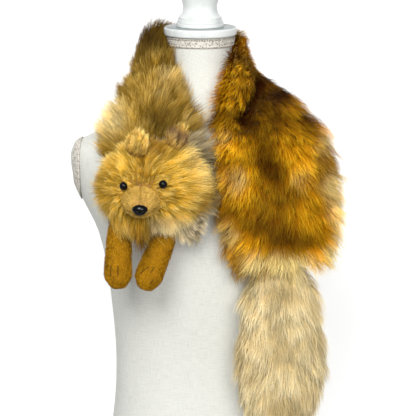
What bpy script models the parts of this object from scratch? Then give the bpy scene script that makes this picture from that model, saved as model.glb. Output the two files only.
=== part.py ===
"""A plush fox scarf of faux fur, laid round the neck of a limbless linen dress form.

Metres, +Z up. The form stands on z = 0, its centre line is the Z axis and its front faces -Y.
Every table below is in millimetres and degrees.
"""
import math
from collections import namedtuple

import bmesh
import bpy
from mathutils import Matrix, Vector
from mathutils.bvhtree import BVHTree

MM = 0.001
SEAM = 0.3                 # left between two pieces that meet
CLEAR = 0.45               # how far a cutter is grown, which leaves the seam at slanted faces too
FORM_SIDES = 40
FUR_SIDES = 28
FOLDED_FUR_SIDES = 44
FUR_SQUARE = 2.3           # 2 is an ellipse, and more is squarer
FOLD_SPREAD = 14.0

# The dress form
NECK_TOP = 690.0
TAPE_WALL = 1.0            # lace tape round the neck and the armholes
TAPE_LIFT = 0.95           # how far the tape lies off the form's flat faces
TAPE_SPANS = 3             # spans across its width
NECK_TAPE_BOTTOM = 675.5
ARMHOLE_HEIGHT = 490.0     # middle of the armhole
ARMHOLE_WIDEST = 80.0      # farther from its middle than any point of its tape
ARMHOLE_TAPE = (177.0, 187.5)    # how far out the tape's two edges lie
CAP_RADIUS = 54.0
CAP_THICK = 12.0

# The fox's face. The ears lie on the front of the head's top: a lean is sideways and a tilt is backwards.
HEAD_CENTRE = (-65.5, -184.0, 505.0)
HEAD_HALF = (76.0, 47.0, 66.0)
MUZZLE_CENTRE = (-80.0, -224.0, 487.5)
MUZZLE_HALF = (26.5, 27.0, 22.5)
NOSE_CENTRE = (-80.5, -248.5, 481.5)
NOSE_HALF = (11.0, 7.5, 8.2)
EYE_RADIUS = 6.0
EYE_STAND = 0.5            # how far an eye's centre lies inside the head's surface
EAR_HALF = (18.0, 8.5, 21.0)
EyePlace = namedtuple("EyePlace", "side x z")
EYES = [EyePlace("left", -103.5, 509.5), EyePlace("right", -49.5, 513.0)]
EarPlace = namedtuple("EarPlace", "side x y z lean tilt")
EARS = [EarPlace("left", -87.0, -203.0, 560.0, -24, 30), EarPlace("right", -32.0, -192.0, 569.0, 28, 22)]

FormRow = namedtuple("FormRow", "z half_width front back square")
FORM_ROWS = [
    FormRow(0, 152, 106, 112, 2.3),
    FormRow(50, 144, 100, 105, 2.3),
    FormRow(95, 136.7, 95, 97, 2.3),
    FormRow(132, 132.3, 92, 91, 2.3),
    FormRow(180, 130, 90, 86, 2.3),
    FormRow(232, 131, 93, 87, 2.3),
    FormRow(266, 134.4, 98, 90, 2.3),
    FormRow(305, 138, 105, 94, 2.3),
    FormRow(362, 145.6, 116, 100, 2.3),
    FormRow(393, 152.4, 121, 103, 2.3),
    FormRow(430, 170, 123, 105, 2.3),
    FormRow(452, 181, 121, 105, 2.3),
    FormRow(475, 190.4, 116, 104, 2.3),
    FormRow(497, 195.3, 110, 102, 2.3),
    FormRow(512, 195, 105, 99, 2.3),
    FormRow(524, 191, 99, 95, 2.3),
    FormRow(532.5, 178.8, 95, 92, 2.3),
    FormRow(547.5, 147, 86, 84, 2.3),
    FormRow(562, 118, 78, 77, 2.3),
    FormRow(578, 92, 70, 69, 2.2),
    FormRow(595, 71, 62, 62, 2.1),
    FormRow(612, 58, 56, 56, 2.0),
    FormRow(630, 49.5, 52, 52, 2.0),
    FormRow(650, 46, 49.5, 49.5, 2.0),
    FormRow(670, 47.5, 49.5, 49.5, 2.0),
    FormRow(NECK_TOP, 50, 50.5, 50.5, 2.0),
]

FurRow = namedtuple("FurRow", "x y z facing lift half_width half_thick bend fold_at fold_deep",
                    defaults=(0.0, 0.0, 0.0))

# The scarf's body runs in one path from the fox's chest, over the left shoulder, behind the neck and
# down the right side. A stretch's last row is the seam where the next stretch starts.
CHEST_ROWS = [
    FurRow(-80, -146, 401, 264, -8, 32, 12),
    FurRow(-74, -147, 412, 264, -4, 54, 20),
    FurRow(-66, -147, 430, 264, 0, 70, 25),
    FurRow(-60, -145, 455, 264, 3, 80, 26),
    FurRow(-58, -140, 485, 264, 7, 84, 25),
    FurRow(-62, -131, 512, 264, 12, 82, 23),
    FurRow(-70, -117, 537, 262, 18, 73, 22),
]
HEAD_SIDE_ROWS = [
    FurRow(-72, -97, 562, 260, 26, 71, 23),
    FurRow(-71, -66, 599, 246, 30, 53, 25),
    FurRow(-77, -30, 632, 215, 20, 51, 26),
    FurRow(-75, 8, 647, 178, 8, 50, 27),
    FurRow(-62, 42, 650, 145, 8, 49, 25),
]
NAPE_ROWS = [
    FurRow(-36, 63, 648, 115, 10, 47, 23),
    FurRow(0, 73, 649, 90, 10, 46, 23),
    FurRow(35, 62, 648, 65, 12, 47, 22),
    FurRow(55, 40, 644, 38, 16, 50, 20),
]
TAIL_SIDE_ROWS = [
    FurRow(74, 8, 633, 5, 38, 59, 19, 0.0, 0, 4),
    FurRow(86, -28, 611, -30, 46, 67, 22, 0.0, 4, 13),
    FurRow(94, -60, 584, -54, 44, 78, 26, 0.0006, 16, 19),
    FurRow(104, -92, 553, -66, 32, 89, 27, 0.0010, 34, 15),
    FurRow(112, -117, 519, -70, 18, 92, 27, 0.0013, 50, 4),
    FurRow(116, -129, 482, -72, 8, 92, 28, 0.0013, 50, 0),
    FurRow(118, -133, 442, -75, 2, 90, 28, 0.0010, 50, 0),
    FurRow(118, -132, 410, -78, -2, 82, 27, 0.0008, 50, 0),
    FurRow(120, -130, 387, -80, -4, 72, 25, 0.0004, 50, 0),
    FurRow(121, -128, 371, -80, -4, 60, 22, 0.0004, 50, 0),
]
TAIL_ROWS = [
    FurRow(115, -128, 372, 275, 0, 42, 10),
    FurRow(117, -127, 350, 275, 0, 51, 24),
    FurRow(117, -126, 322, 275, 0, 58, 34),
    FurRow(118, -125, 288, 275, 0, 60, 39),
    FurRow(119, -124, 250, 275, 0, 65, 42),
    FurRow(119, -122, 215, 275, 0, 66, 42),
    FurRow(119, -120, 182, 275, 0, 62, 39),
    FurRow(118, -118, 155, 275, 0, 54, 33),
    FurRow(118, -117, 132, 275, 0, 39, 24),
    FurRow(118, -116, 117, 275, 0, 20, 12),
]
FORELEG_ROWS = {
    "left": [
        FurRow(-112, -152, 446, 268, 0, 15, 13),
        FurRow(-114, -158, 425, 268, 0, 18, 17),
        FurRow(-115, -162, 402, 268, 0, 19, 18),
        FurRow(-116, -166, 382, 268, 0, 20, 20),
        FurRow(-116, -170, 367, 268, 0, 20, 23),
        FurRow(-116, -171, 359, 268, 0, 16, 19),
    ],
    "right": [
        FurRow(-44, -152, 446, 268, 0, 15, 13),
        FurRow(-50, -158, 424, 268, 0, 18, 17),
        FurRow(-58, -162, 401, 268, 0, 19, 18),
        FurRow(-67, -166, 380, 268, 0, 20, 20),
        FurRow(-73, -170, 365, 268, 0, 20, 23),
        FurRow(-76, -171, 357, 268, 0, 16, 19),
    ],
}

# Locks of the hem over the tail: where each lies across the width, how far it hangs and how wide it is.
Lock = namedtuple("Lock", "across drop spread")
LOCK_SECTIONS = 4          # sections above the hem that the locks still shape
HEM_LOCKS = [Lock(58, 8, 10), Lock(-2, 14, 12), Lock(-44, 12, 11)]

TurnedRow = namedtuple("TurnedRow", "radius z")
CAP_ROWS = [
    TurnedRow(CAP_RADIUS - 0.8, 0), TurnedRow(CAP_RADIUS, 0.8), TurnedRow(CAP_RADIUS, CAP_THICK - 2),
    TurnedRow(CAP_RADIUS - 1.2, CAP_THICK - 0.5), TurnedRow(CAP_RADIUS - 4, CAP_THICK),
    TurnedRow(CAP_RADIUS - 16, CAP_THICK),
]
FINIAL_ROWS = [
    TurnedRow(35.5, 0), TurnedRow(36, 1.5), TurnedRow(35.5, 5.5), TurnedRow(34, 6.2), TurnedRow(34, 9.5),
    TurnedRow(32.4, 10.5), TurnedRow(32.6, 13.5), TurnedRow(31.0, 15), TurnedRow(27.5, 18.5),
    TurnedRow(25.6, 24), TurnedRow(25.3, 29), TurnedRow(26.6, 35), TurnedRow(29.2, 42),
    TurnedRow(31.0, 50), TurnedRow(30.6, 59), TurnedRow(27.4, 68), TurnedRow(21.0, 76),
    TurnedRow(11.5, 81.6),
]

LINEN = ("linen", (0.78, 0.75, 0.70), 0.9)
LACE = ("lace_tape", (0.55, 0.50, 0.44), 0.9)
PAINT = ("white_paint", (0.86, 0.87, 0.88), 0.35)
FUR_TAN = ("fur_tan", (0.46, 0.29, 0.13), 0.85)
FUR_GINGER = ("fur_ginger", (0.50, 0.22, 0.05), 0.85)
FUR_CREAM = ("fur_cream", (0.68, 0.55, 0.40), 0.85)
FUR_GOLD = ("fur_gold", (0.60, 0.38, 0.15), 0.85)
SHORT_PILE = ("short_pile", (0.48, 0.27, 0.08), 0.85)
BLACK_GLOSS = ("black_gloss", (0.01, 0.01, 0.01), 0.15)


def clear_scene():
    for item in list(bpy.data.objects):
        bpy.data.objects.remove(item, do_unlink=True)


def new_collection(name):
    collection = bpy.data.collections.new(name)
    bpy.context.scene.collection.children.link(collection)
    return collection


def material(finish):
    """One Principled material for each finish, made when it is first needed."""
    name, colour, roughness = finish
    found = bpy.data.materials.get(name)
    if found:
        return found
    made = bpy.data.materials.new(name)
    made.use_nodes = True
    shader = made.node_tree.nodes["Principled BSDF"]
    shader.inputs["Base Color"].default_value = (*colour, 1.0)
    shader.inputs["Roughness"].default_value = roughness
    shader.inputs["Metallic"].default_value = 0.0
    made.diffuse_color = (*colour, 1.0)
    return made


def add_object(name, mesh, finish, collection):
    piece = bpy.data.objects.new(name, mesh)
    collection.objects.link(piece)
    mesh.materials.append(material(finish))
    mesh.shade_smooth()
    mesh.set_sharp_from_angle(angle=math.radians(40))
    return piece


def between(rows, place, column):
    """Reads a column of a table between its rows, on a smooth curve that doesn't overshoot them."""
    keys = [row.z for row in rows]
    values = [getattr(row, column) for row in rows]
    last = len(keys) - 2
    index = max(0, min(last, sum(1 for key in keys[1:-1] if key <= place)))
    steps = [(values[i + 1] - values[i]) / (keys[i + 1] - keys[i]) for i in range(last + 1)]

    def slope(i):
        if i == 0:
            return steps[0]
        if i == last + 1:
            return steps[last]
        if steps[i - 1] * steps[i] <= 0:
            return 0.0
        return 2 * steps[i - 1] * steps[i] / (steps[i - 1] + steps[i])

    span = keys[index + 1] - keys[index]
    t = (place - keys[index]) / span
    rise = values[index + 1] - values[index]
    start = slope(index) * span
    end = slope(index + 1) * span
    return values[index] + t * (start + t * (3 * rise - 2 * start - end + t * (start + end - 2 * rise)))


def rounded(value, power):
    """A cosine or sine raised to a power that keeps its sign, for a rounded square."""
    return math.copysign(abs(value) ** power, value)


def form_point(angle, z):
    """A point of the dress form's surface, in millimetres."""
    power = 2 / between(FORM_ROWS, z, "square")
    depth = between(FORM_ROWS, z, "back" if math.sin(angle) > 0 else "front")
    x = between(FORM_ROWS, z, "half_width") * rounded(math.cos(angle), power)
    return Vector((x, depth * rounded(math.sin(angle), power), z))


def form_side_point(y, z, side):
    """The form's surface at the side, given how far back and how high it is."""
    square = between(FORM_ROWS, z, "square")
    depth = between(FORM_ROWS, z, "back" if y > 0 else "front")
    x = between(FORM_ROWS, z, "half_width") * (1 - abs(y / depth) ** square) ** (1 / square)
    return Vector((side * x, y, z))


def loft(name, sections, finish, collection, closed_path=False):
    """Joins loops of equal count, in millimetres, into a solid: capped at its ends or closed round."""
    bm = bmesh.new()
    rings = [[bm.verts.new(point * MM) for point in section] for section in sections]
    count = len(sections[0])
    pairs = list(zip(rings, rings[1:]))
    if closed_path:
        pairs.append((rings[-1], rings[0]))
    for lower, upper in pairs:
        for k in range(count):
            nxt = (k + 1) % count
            bm.faces.new((lower[k], lower[nxt], upper[nxt], upper[k]))
    if not closed_path:
        bm.faces.new(rings[0])
        bm.faces.new(rings[-1])
    bmesh.ops.recalc_face_normals(bm, faces=bm.faces)
    mesh = bpy.data.meshes.new(name)
    bm.to_mesh(mesh)
    bm.free()
    return add_object(name, mesh, finish, collection)


def form_heights():
    """Levels of the form's rings: wide apart at the waist and close over the shoulders."""
    steps = [(0, 400, 9), (400, 510, 5), (510, 535, 4), (535, 625, 8), (625, NECK_TOP, 5)]
    levels = []
    for low, high, count in steps:
        levels += [low + (high - low) * i / count for i in range(count)]
    return levels + [NECK_TOP]


def make_form(collection):
    sections = []
    for z in form_heights():
        angles = [2 * math.pi * k / FORM_SIDES for k in range(FORM_SIDES)]
        sections.append([form_point(angle, z) for angle in angles])
    return loft("form_torso", sections, LINEN, collection)


def surface_normal(surface, a, b, inside, step=0.01):
    """Which way a surface faces at one of its points, away from a point inside it."""
    here = surface(a, b)
    along = surface(a + step, b) - surface(a - step, b)
    across = surface(a, b + step) - surface(a, b - step)
    normal = along.cross(across).normalized()
    return normal if normal.dot(here - inside) > 0 else -normal


def tape(name, surface, edges, inside, form, collection):
    """A closed lace tape on the form: edges gives its two edge places on a surface for each step round.
    Each place is moved to the form's nearest face and then out."""
    tree = BVHTree.FromObject(form, bpy.context.evaluated_depsgraph_get())
    sections = []
    for start, end in edges:
        under = []
        over = []
        for step in range(TAPE_SPANS + 1):
            t = step / TAPE_SPANS
            place = [a + (b - a) * t for a, b in zip(start, end)]
            normal = surface_normal(surface, *place, inside)
            foot = tree.find_nearest(surface(*place) * MM)[0] / MM
            under.append(foot + normal * TAPE_LIFT)
            over.append(foot + normal * (TAPE_LIFT + TAPE_WALL))
        sections.append(under + over[::-1])
    return loft(name, sections, LACE, collection, closed_path=True)


def armhole_place(angle, reach):
    """Where the form's side is a given way out, in a direction round the armhole: how far back and high."""
    near = 0.0
    far = ARMHOLE_WIDEST
    for _ in range(30):
        radius = (near + far) / 2
        y = radius * math.cos(angle)
        z = ARMHOLE_HEIGHT + radius * math.sin(angle)
        if form_side_point(y, z, 1).x > reach:
            near = radius
        else:
            far = radius
    return (y, z)


def make_tapes(form, collection):
    """The lace round the top of the neck and round both armholes, from the form's own surface."""
    steps = [2 * math.pi * k / FORM_SIDES for k in range(FORM_SIDES)]
    top = NECK_TOP - 1.0
    round_neck = [((angle, NECK_TAPE_BOTTOM), (angle, top)) for angle in steps]
    inside_neck = Vector((0, 0, NECK_TAPE_BOTTOM))
    neck = tape("form_neck_trim", form_point, round_neck, inside_neck, form, collection)
    tapes = {"neck": neck}
    for label, side in (("left", -1), ("right", 1)):
        def side_surface(y, z, side=side):
            return form_side_point(y, z, side)

        around = [tuple(armhole_place(angle, reach) for reach in ARMHOLE_TAPE) for angle in steps]
        inside_form = Vector((0, 0, ARMHOLE_HEIGHT))
        name = "form_armhole_trim_" + label
        tapes[label] = tape(name, side_surface, around, inside_form, form, collection)
    return tapes


def turned(name, rows, base, crown, steps, collection):
    """A turned and painted piece: a profile from its top down, swept round the Z axis."""
    bm = bmesh.new()
    points = [Vector((0, 0, (base + rows[-1].z + crown) * MM))]
    points += [Vector((row.radius * MM, 0, (base + row.z) * MM)) for row in reversed(rows)]
    points.append(Vector((0, 0, (base + rows[0].z) * MM)))
    verts = [bm.verts.new(point) for point in points]
    for first, second in zip(verts, verts[1:]):
        bm.edges.new((first, second))
    mesh = bpy.data.meshes.new(name)
    bm.to_mesh(mesh)
    bm.free()
    piece = add_object(name, mesh, PAINT, collection)
    screw = piece.modifiers.new("turn", "SCREW")
    screw.axis = "Z"
    screw.steps = steps
    screw.render_steps = steps
    screw.use_merge_vertices = True
    screw.merge_threshold = 0.00001
    shaped = piece.evaluated_get(bpy.context.evaluated_depsgraph_get())
    piece.data = bpy.data.meshes.new_from_object(shaped)
    piece.modifiers.clear()
    return piece


def make_cap_and_finial(collection):
    base = NECK_TOP + SEAM
    turned("form_finial", FINIAL_ROWS, base + CAP_THICK + SEAM, 0.8, 24, collection)
    turned("form_neck_cap", CAP_ROWS, base, 0.0, 48, collection)


def make_collar_room(cutters):
    """Room for the lace and the cap round the top of the neck, for the fur to stay out of."""
    lace = between(FORM_ROWS, NECK_TOP, "half_width") + TAPE_LIFT + TAPE_WALL + 2 * SEAM
    cap = CAP_RADIUS + 2 * SEAM
    rows = [
        TurnedRow(lace, NECK_TAPE_BOTTOM - 2), TurnedRow(lace, NECK_TOP - SEAM),
        TurnedRow(cap, NECK_TOP), TurnedRow(cap, NECK_TOP + CAP_THICK + 2),
    ]
    room = turned("room_for_collar", rows, 0.0, 0.0, FORM_SIDES, cutters)
    room.hide_render = True
    room.display_type = "WIRE"
    return room


def curve_rows(rows, parts):
    """Adds rows between the rows of a fur table, on a curve through all of them."""
    made = []
    for i in range(len(rows) - 1):
        before = rows[max(i - 1, 0)]
        after = rows[min(i + 2, len(rows) - 1)]
        for step in range(parts):
            t = step / parts
            values = []
            for p0, p1, p2, p3 in zip(before, rows[i], rows[i + 1], after):
                bend = (2 * p0 - 5 * p1 + 4 * p2 - p3) * t * t + (3 * p1 - p0 - 3 * p2 + p3) * t ** 3
                values.append(p1 + 0.5 * ((p2 - p0) * t + bend))
            made.append(FurRow(*values))
    return made + [rows[-1]]


def fur_section(row, ahead, scale=1.0, shift=0.0, locks=()):
    """One loop round a fur piece, across the way that it runs."""
    facing = math.radians(row.facing)
    lift = math.radians(row.lift)
    outward = Vector((math.cos(facing) * math.cos(lift), math.sin(facing) * math.cos(lift), math.sin(lift)))
    across = ahead.cross(outward).normalized()
    outward = across.cross(ahead).normalized()
    centre = Vector((row.x, row.y, row.z)) + ahead * shift
    sides = FOLDED_FUR_SIDES if locks else FUR_SIDES
    loop = []
    for k in range(sides):
        angle = 2 * math.pi * k / sides
        side = row.half_width * scale * rounded(math.cos(angle), 2 / FUR_SQUARE)
        out = row.half_thick * scale * rounded(math.sin(angle), 2 / FUR_SQUARE)
        if out > 0:
            out -= scale * row.fold_deep * math.exp(-((side - row.fold_at) / FOLD_SPREAD) ** 2)
        out -= row.bend * side * side
        loop.append(centre + across * side + outward * out)
    return loop


def hang_locks(loop, row, ahead, locks, strength):
    """Draws a hem's loop down where its locks hang, less so the further it is from the hem."""
    if strength <= 0:
        return loop
    middle = Vector((row.x, row.y, row.z))
    facing = math.radians(row.facing)
    across = ahead.cross(Vector((math.cos(facing), math.sin(facing), 0))).normalized()
    hung = []
    for point in loop:
        side = (point - middle).dot(across)
        drop = sum(lock.drop * math.exp(-((side - lock.across) / lock.spread) ** 2) for lock in locks)
        hung.append(point + ahead * drop * strength)
    return hung


def fur_chain(stretches, collection, parts, locks=()):
    """Stretches of fur that follow one path. The chain's two ends are round. Between stretches is a seam:
    both sides of it are flat and stop half a seam short. The locks hang from the last stretch."""
    table = [row for _, _, rows in stretches for row in rows]
    fine = curve_rows(table, parts)
    centres = [Vector((row.x, row.y, row.z)) for row in fine]
    last = len(fine) - 1
    ways = [(centres[min(i + 1, last)] - centres[max(i - 1, 0)]).normalized() for i in range(last + 1)]
    pieces = []
    start = 0
    used = 0
    for name, finish, rows in stretches:
        used += len(rows)
        end = (used - 1) * parts
        own_locks = locks if end == last else ()
        sections = []
        for i in range(start, end + 1):
            row = fine[i]
            way = ways[i]
            if i == 0:
                sections.append(fur_section(row, way, 0.45, -0.42 * row.half_thick))
                sections.append(fur_section(row, way, 0.8, -0.28 * row.half_thick))
            shift = SEAM / 2 if i == start and i > 0 else 0.0
            shift -= SEAM / 2 if i == end and i < last else 0.0
            loop = fur_section(row, way, 1.0, shift, own_locks)
            sections.append(hang_locks(loop, row, way, own_locks, 1 - (last - i) / LOCK_SECTIONS))
            if i == last:
                for scale, reach in ((0.8, 0.28), (0.45, 0.42)):
                    loop = fur_section(row, way, scale, reach * row.half_thick, own_locks)
                    sections.append(hang_locks(loop, row, way, own_locks, 1.0))
        pieces.append(loft(name, sections, finish, collection))
        start = end
    return pieces


def blob(name, centre, half, finish, collection, segments=(32, 18), shape=None, turn=(0, 0)):
    """A stuffed round piece: a sphere stretched to its half sizes, shaped by a function, then turned about the
    X axis and the Y axis."""
    bm = bmesh.new()
    bmesh.ops.create_uvsphere(bm, u_segments=segments[0], v_segments=segments[1], radius=1.0)
    spin = Matrix.Rotation(math.radians(turn[1]), 3, "Y") @ Matrix.Rotation(math.radians(turn[0]), 3, "X")
    for vert in bm.verts:
        point = vert.co.copy()
        if shape:
            point = shape(point)
        point = Vector((point.x * half[0], point.y * half[1], point.z * half[2]))
        vert.co = (Vector(centre) + spin @ point) * MM
    mesh = bpy.data.meshes.new(name)
    bm.to_mesh(mesh)
    bm.free()
    return add_object(name, mesh, finish, collection)


def head_shape(point):
    """Full cheeks, a brow a little narrower than them and a flatter back."""
    cheek = 1 + 0.07 * math.exp(-((point.z + 0.2) / 0.45) ** 2) - 0.08 * max(point.z, 0)
    depth = 0.86 if point.y > 0 else 1.0
    return Vector((point.x * cheek, point.y * depth, point.z))


def ear_shape(point):
    """A leaf that narrows to its tip and cups towards the front."""
    narrow = 1 - 0.42 * max(point.z, 0) ** 1.5
    cup = 0.55 * point.x * point.x
    return Vector((point.x * narrow, point.y - cup, point.z))


def head_front(x, z):
    """How far forward the head's surface lies at a place of the face."""
    across = (x - HEAD_CENTRE[0]) / HEAD_HALF[0]
    up = (z - HEAD_CENTRE[2]) / HEAD_HALF[2]
    return HEAD_CENTRE[1] - HEAD_HALF[1] * math.sqrt(max(0.05, 1 - across * across - up * up))


def make_face(collection):
    face = {"head": blob("head", HEAD_CENTRE, HEAD_HALF, FUR_GOLD, collection, shape=head_shape)}
    face["muzzle"] = blob("muzzle", MUZZLE_CENTRE, MUZZLE_HALF, SHORT_PILE, collection, (20, 12))
    face["nose"] = blob("nose", NOSE_CENTRE, NOSE_HALF, BLACK_GLOSS, collection, (16, 10))
    for eye in EYES:
        name = "eye_" + eye.side
        centre = (eye.x, head_front(eye.x, eye.z) + EYE_STAND, eye.z)
        face[name] = blob(name, centre, [EYE_RADIUS] * 3, BLACK_GLOSS, collection, (16, 10))
    for ear in EARS:
        name = "ear_" + ear.side
        centre = (ear.x, ear.y, ear.z)
        turn = (-ear.tilt, ear.lean)
        face[name] = blob(name, centre, EAR_HALF, FUR_GOLD, collection, (20, 12), ear_shape, turn)
    return face


def grown_cutter(source, collection, gap=CLEAR):
    """A copy of a piece, grown outwards, that takes its room out of a neighbour."""
    name = "room_for_" + source.name
    found = bpy.data.objects.get(name)
    if found:
        return found
    mesh = source.data.copy()
    moves = [vertex.normal * gap * MM for vertex in mesh.vertices]
    for vertex, move in zip(mesh.vertices, moves):
        vertex.co += move
    cutter = bpy.data.objects.new(name, mesh)
    collection.objects.link(cutter)
    cutter.hide_render = True
    cutter.display_type = "WIRE"
    return cutter


def make_room(piece, neighbours, cutters):
    """Cuts a piece where its neighbours lie, so that it rests on them with a seam's gap."""
    for neighbour in neighbours:
        boolean = piece.modifiers.new("rests_on_" + neighbour.name, "BOOLEAN")
        boolean.operation = "DIFFERENCE"
        boolean.solver = "EXACT"
        boolean.object = neighbour if neighbour.hide_render else grown_cutter(neighbour, cutters)


def build():
    clear_scene()
    parts = new_collection("fox_scarf_on_dress_form")
    cutters = new_collection("room_cutters")
    form = make_form(parts)
    tapes = make_tapes(form, parts)
    make_cap_and_finial(parts)
    collar = make_collar_room(cutters)
    body = [
        ("chest_ruff", FUR_CREAM, CHEST_ROWS),
        ("scarf_head_side", FUR_TAN, HEAD_SIDE_ROWS),
        ("scarf_nape", FUR_TAN, NAPE_ROWS),
        ("scarf_tail_side", FUR_GINGER, TAIL_SIDE_ROWS),
    ]
    chest, head_side, nape, tail_side = fur_chain(body, parts, 2, HEM_LOCKS)
    tail = fur_chain([("tail", FUR_CREAM, TAIL_ROWS)], parts, 2)[0]
    legs = []
    for label, rows in FORELEG_ROWS.items():
        legs += fur_chain([("foreleg_" + label, SHORT_PILE, rows)], parts, 1)
    face = make_face(parts)
    head = face["head"]
    ears = [face["ear_left"], face["ear_right"]]
    make_room(nape, [form, collar], cutters)
    make_room(head_side, [form, collar, head] + ears, cutters)
    make_room(tail_side, [form, collar, tapes["right"], tail], cutters)
    make_room(tail, [form], cutters)
    make_room(chest, [form, head, tail_side] + legs + ears, cutters)
    make_room(legs[0], [head], cutters)
    make_room(legs[1], [head, legs[0]], cutters)
    make_room(face["muzzle"], [head, face["eye_left"], face["eye_right"]], cutters)
    make_room(face["nose"], [face["muzzle"]], cutters)
    for name in ("eye_left", "eye_right", "ear_left", "ear_right"):
        make_room(face[name], [head], cutters)


build()
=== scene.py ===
"""The looks of a plush fox scarf of faux fur, laid round the neck of a limbless linen dress form.

Metres, +Z up. The form stands on z = 0, its centre line is the Z axis and its front faces -Y.
Tables of sizes are in millimetres and degrees.
"""
import math
import random
from collections import namedtuple
from itertools import accumulate

import bmesh
import bpy
from mathutils import Matrix, Vector
from mathutils.bvhtree import BVHTree


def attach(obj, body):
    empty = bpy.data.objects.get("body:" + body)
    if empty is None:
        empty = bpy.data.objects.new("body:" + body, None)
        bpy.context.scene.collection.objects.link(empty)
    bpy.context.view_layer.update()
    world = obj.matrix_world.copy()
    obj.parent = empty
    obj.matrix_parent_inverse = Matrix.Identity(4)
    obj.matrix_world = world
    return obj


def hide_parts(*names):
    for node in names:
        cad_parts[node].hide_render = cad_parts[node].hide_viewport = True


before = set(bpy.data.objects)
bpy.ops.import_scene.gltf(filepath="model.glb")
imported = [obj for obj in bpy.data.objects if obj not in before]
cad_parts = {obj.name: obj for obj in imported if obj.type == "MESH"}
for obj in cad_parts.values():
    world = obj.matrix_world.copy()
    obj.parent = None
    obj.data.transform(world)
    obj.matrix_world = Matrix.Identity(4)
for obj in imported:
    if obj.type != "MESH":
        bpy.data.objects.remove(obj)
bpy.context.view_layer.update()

# The dress form's torso. A moulded body under fine off-white linen that is pulled tight over it, with
# slubs in its threads, and closed flat at the foot and at the top of the neck.
MM = 0.001
LINEN_PALE = (0.86, 0.865, 0.81, 1)
LINEN_SHADE = (0.73, 0.735, 0.67, 1)
LINEN_THREAD = 0.9
LINEN_WARP_SLUB = (900, 60, 1)
LINEN_WEFT_SLUB = (45, 900, 1)
LINEN_GIRTH_RADIUS = 0.14


class Wire:
    """What runs along a wire of a node tree: a number, a vector or a colour. A sum on it adds the node."""

    def __init__(self, socket):
        self.socket = socket
        self.tree = socket.id_data
        self.wide = socket.type in ("VECTOR", "RGBA")

    def step(self, operation, *others):
        """One step of arithmetic that starts from this."""
        kind = "ShaderNodeVectorMath" if self.wide else "ShaderNodeMath"
        output = 1 if operation == "DOT_PRODUCT" else 0
        return wire(self.tree, kind, dict(enumerate((self, *others))), output, operation=operation)

    def __add__(self, other):
        return self.step("ADD", other)

    def __sub__(self, other):
        return self.step("SUBTRACT", other)

    def __mul__(self, other):
        if self.wide:
            return wire(self.tree, "ShaderNodeVectorMath", {0: self, "Scale": other}, operation="SCALE")
        return self.step("MULTIPLY", other)

    def __truediv__(self, other):
        return self.step("DIVIDE", other)

    def __rsub__(self, other):
        return wire(self.tree, "ShaderNodeMath", {0: other, 1: self}, operation="SUBTRACT")

    def __rtruediv__(self, other):
        return wire(self.tree, "ShaderNodeMath", {0: other, 1: self}, operation="DIVIDE")

    def eased(self, low, high, to_low=0.0, to_high=1.0):
        """A number read from low to high on a soft step."""
        inputs = {"Value": self, "From Min": low, "From Max": high, "To Min": to_low, "To Max": to_high}
        return wire(self.tree, "ShaderNodeMapRange", inputs, interpolation_type="SMOOTHSTEP")

    def part(self, index):
        """The x, y or z of a vector."""
        return wire(self.tree, "ShaderNodeSeparateXYZ", {0: self}, index)


def feed(node, label, value):
    """Gives a node's input a value, or what runs along a wire."""
    if isinstance(value, Wire):
        value.tree.links.new(value.socket, node.inputs[label])
    else:
        node.inputs[label].default_value = value


def add_node(tree, kind, inputs=None, **settings):
    """Adds a node to a tree, with its inputs by their names or numbers."""
    made = tree.nodes.new(kind)
    for key, value in settings.items():
        setattr(made, key, value)
    for label, value in (inputs or {}).items():
        feed(made, label, value)
    return made


def wire(tree, kind, inputs=None, output=0, **settings):
    """Adds a node to a tree and gives what comes out of it."""
    return Wire(add_node(tree, kind, inputs, **settings).outputs[output])


def blended(factor, first, second):
    """A colour on the way from one to another."""
    return wire(factor.tree, "ShaderNodeMix", {0: factor, 6: first, 7: second}, 2, data_type="RGBA")


def noise(place, scale, detail=2.0, output=0):
    inputs = {"Vector": place, "Scale": scale, "Detail": detail}
    return wire(place.tree, "ShaderNodeTexNoise", inputs, output)


def stretched(place, scale):
    return wire(place.tree, "ShaderNodeMapping", {"Vector": place, "Scale": scale})


def new_finish(name, roughness, specular):
    """A new material, with the shader that its colour and bump go into."""
    made = bpy.data.materials.new(name)
    made.use_nodes = True
    shader = made.node_tree.nodes["Principled BSDF"]
    feed(shader, "Roughness", roughness)
    feed(shader, "Specular IOR Level", specular)
    return made, shader


def on_piece(finish):
    """Where a point lies on its piece, in metres."""
    return wire(finish.node_tree, "ShaderNodeTexCoord", output="Object")


def add_bump(shader, height, distance):
    feed(shader, "Normal", wire(height.tree, "ShaderNodeBump", {"Height": height, "Distance": distance}))


def add_piece(name, mesh, finish, slot, *nodes):
    """A finished piece at the origin, which stands for the named CAD nodes."""
    piece = bpy.data.objects.new(name, mesh)
    bpy.context.scene.collection.objects.link(piece)
    mesh.materials.clear()
    mesh.materials.append(finish)
    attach(piece, "root")
    if nodes:
        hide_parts(*nodes)
    return piece


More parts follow.
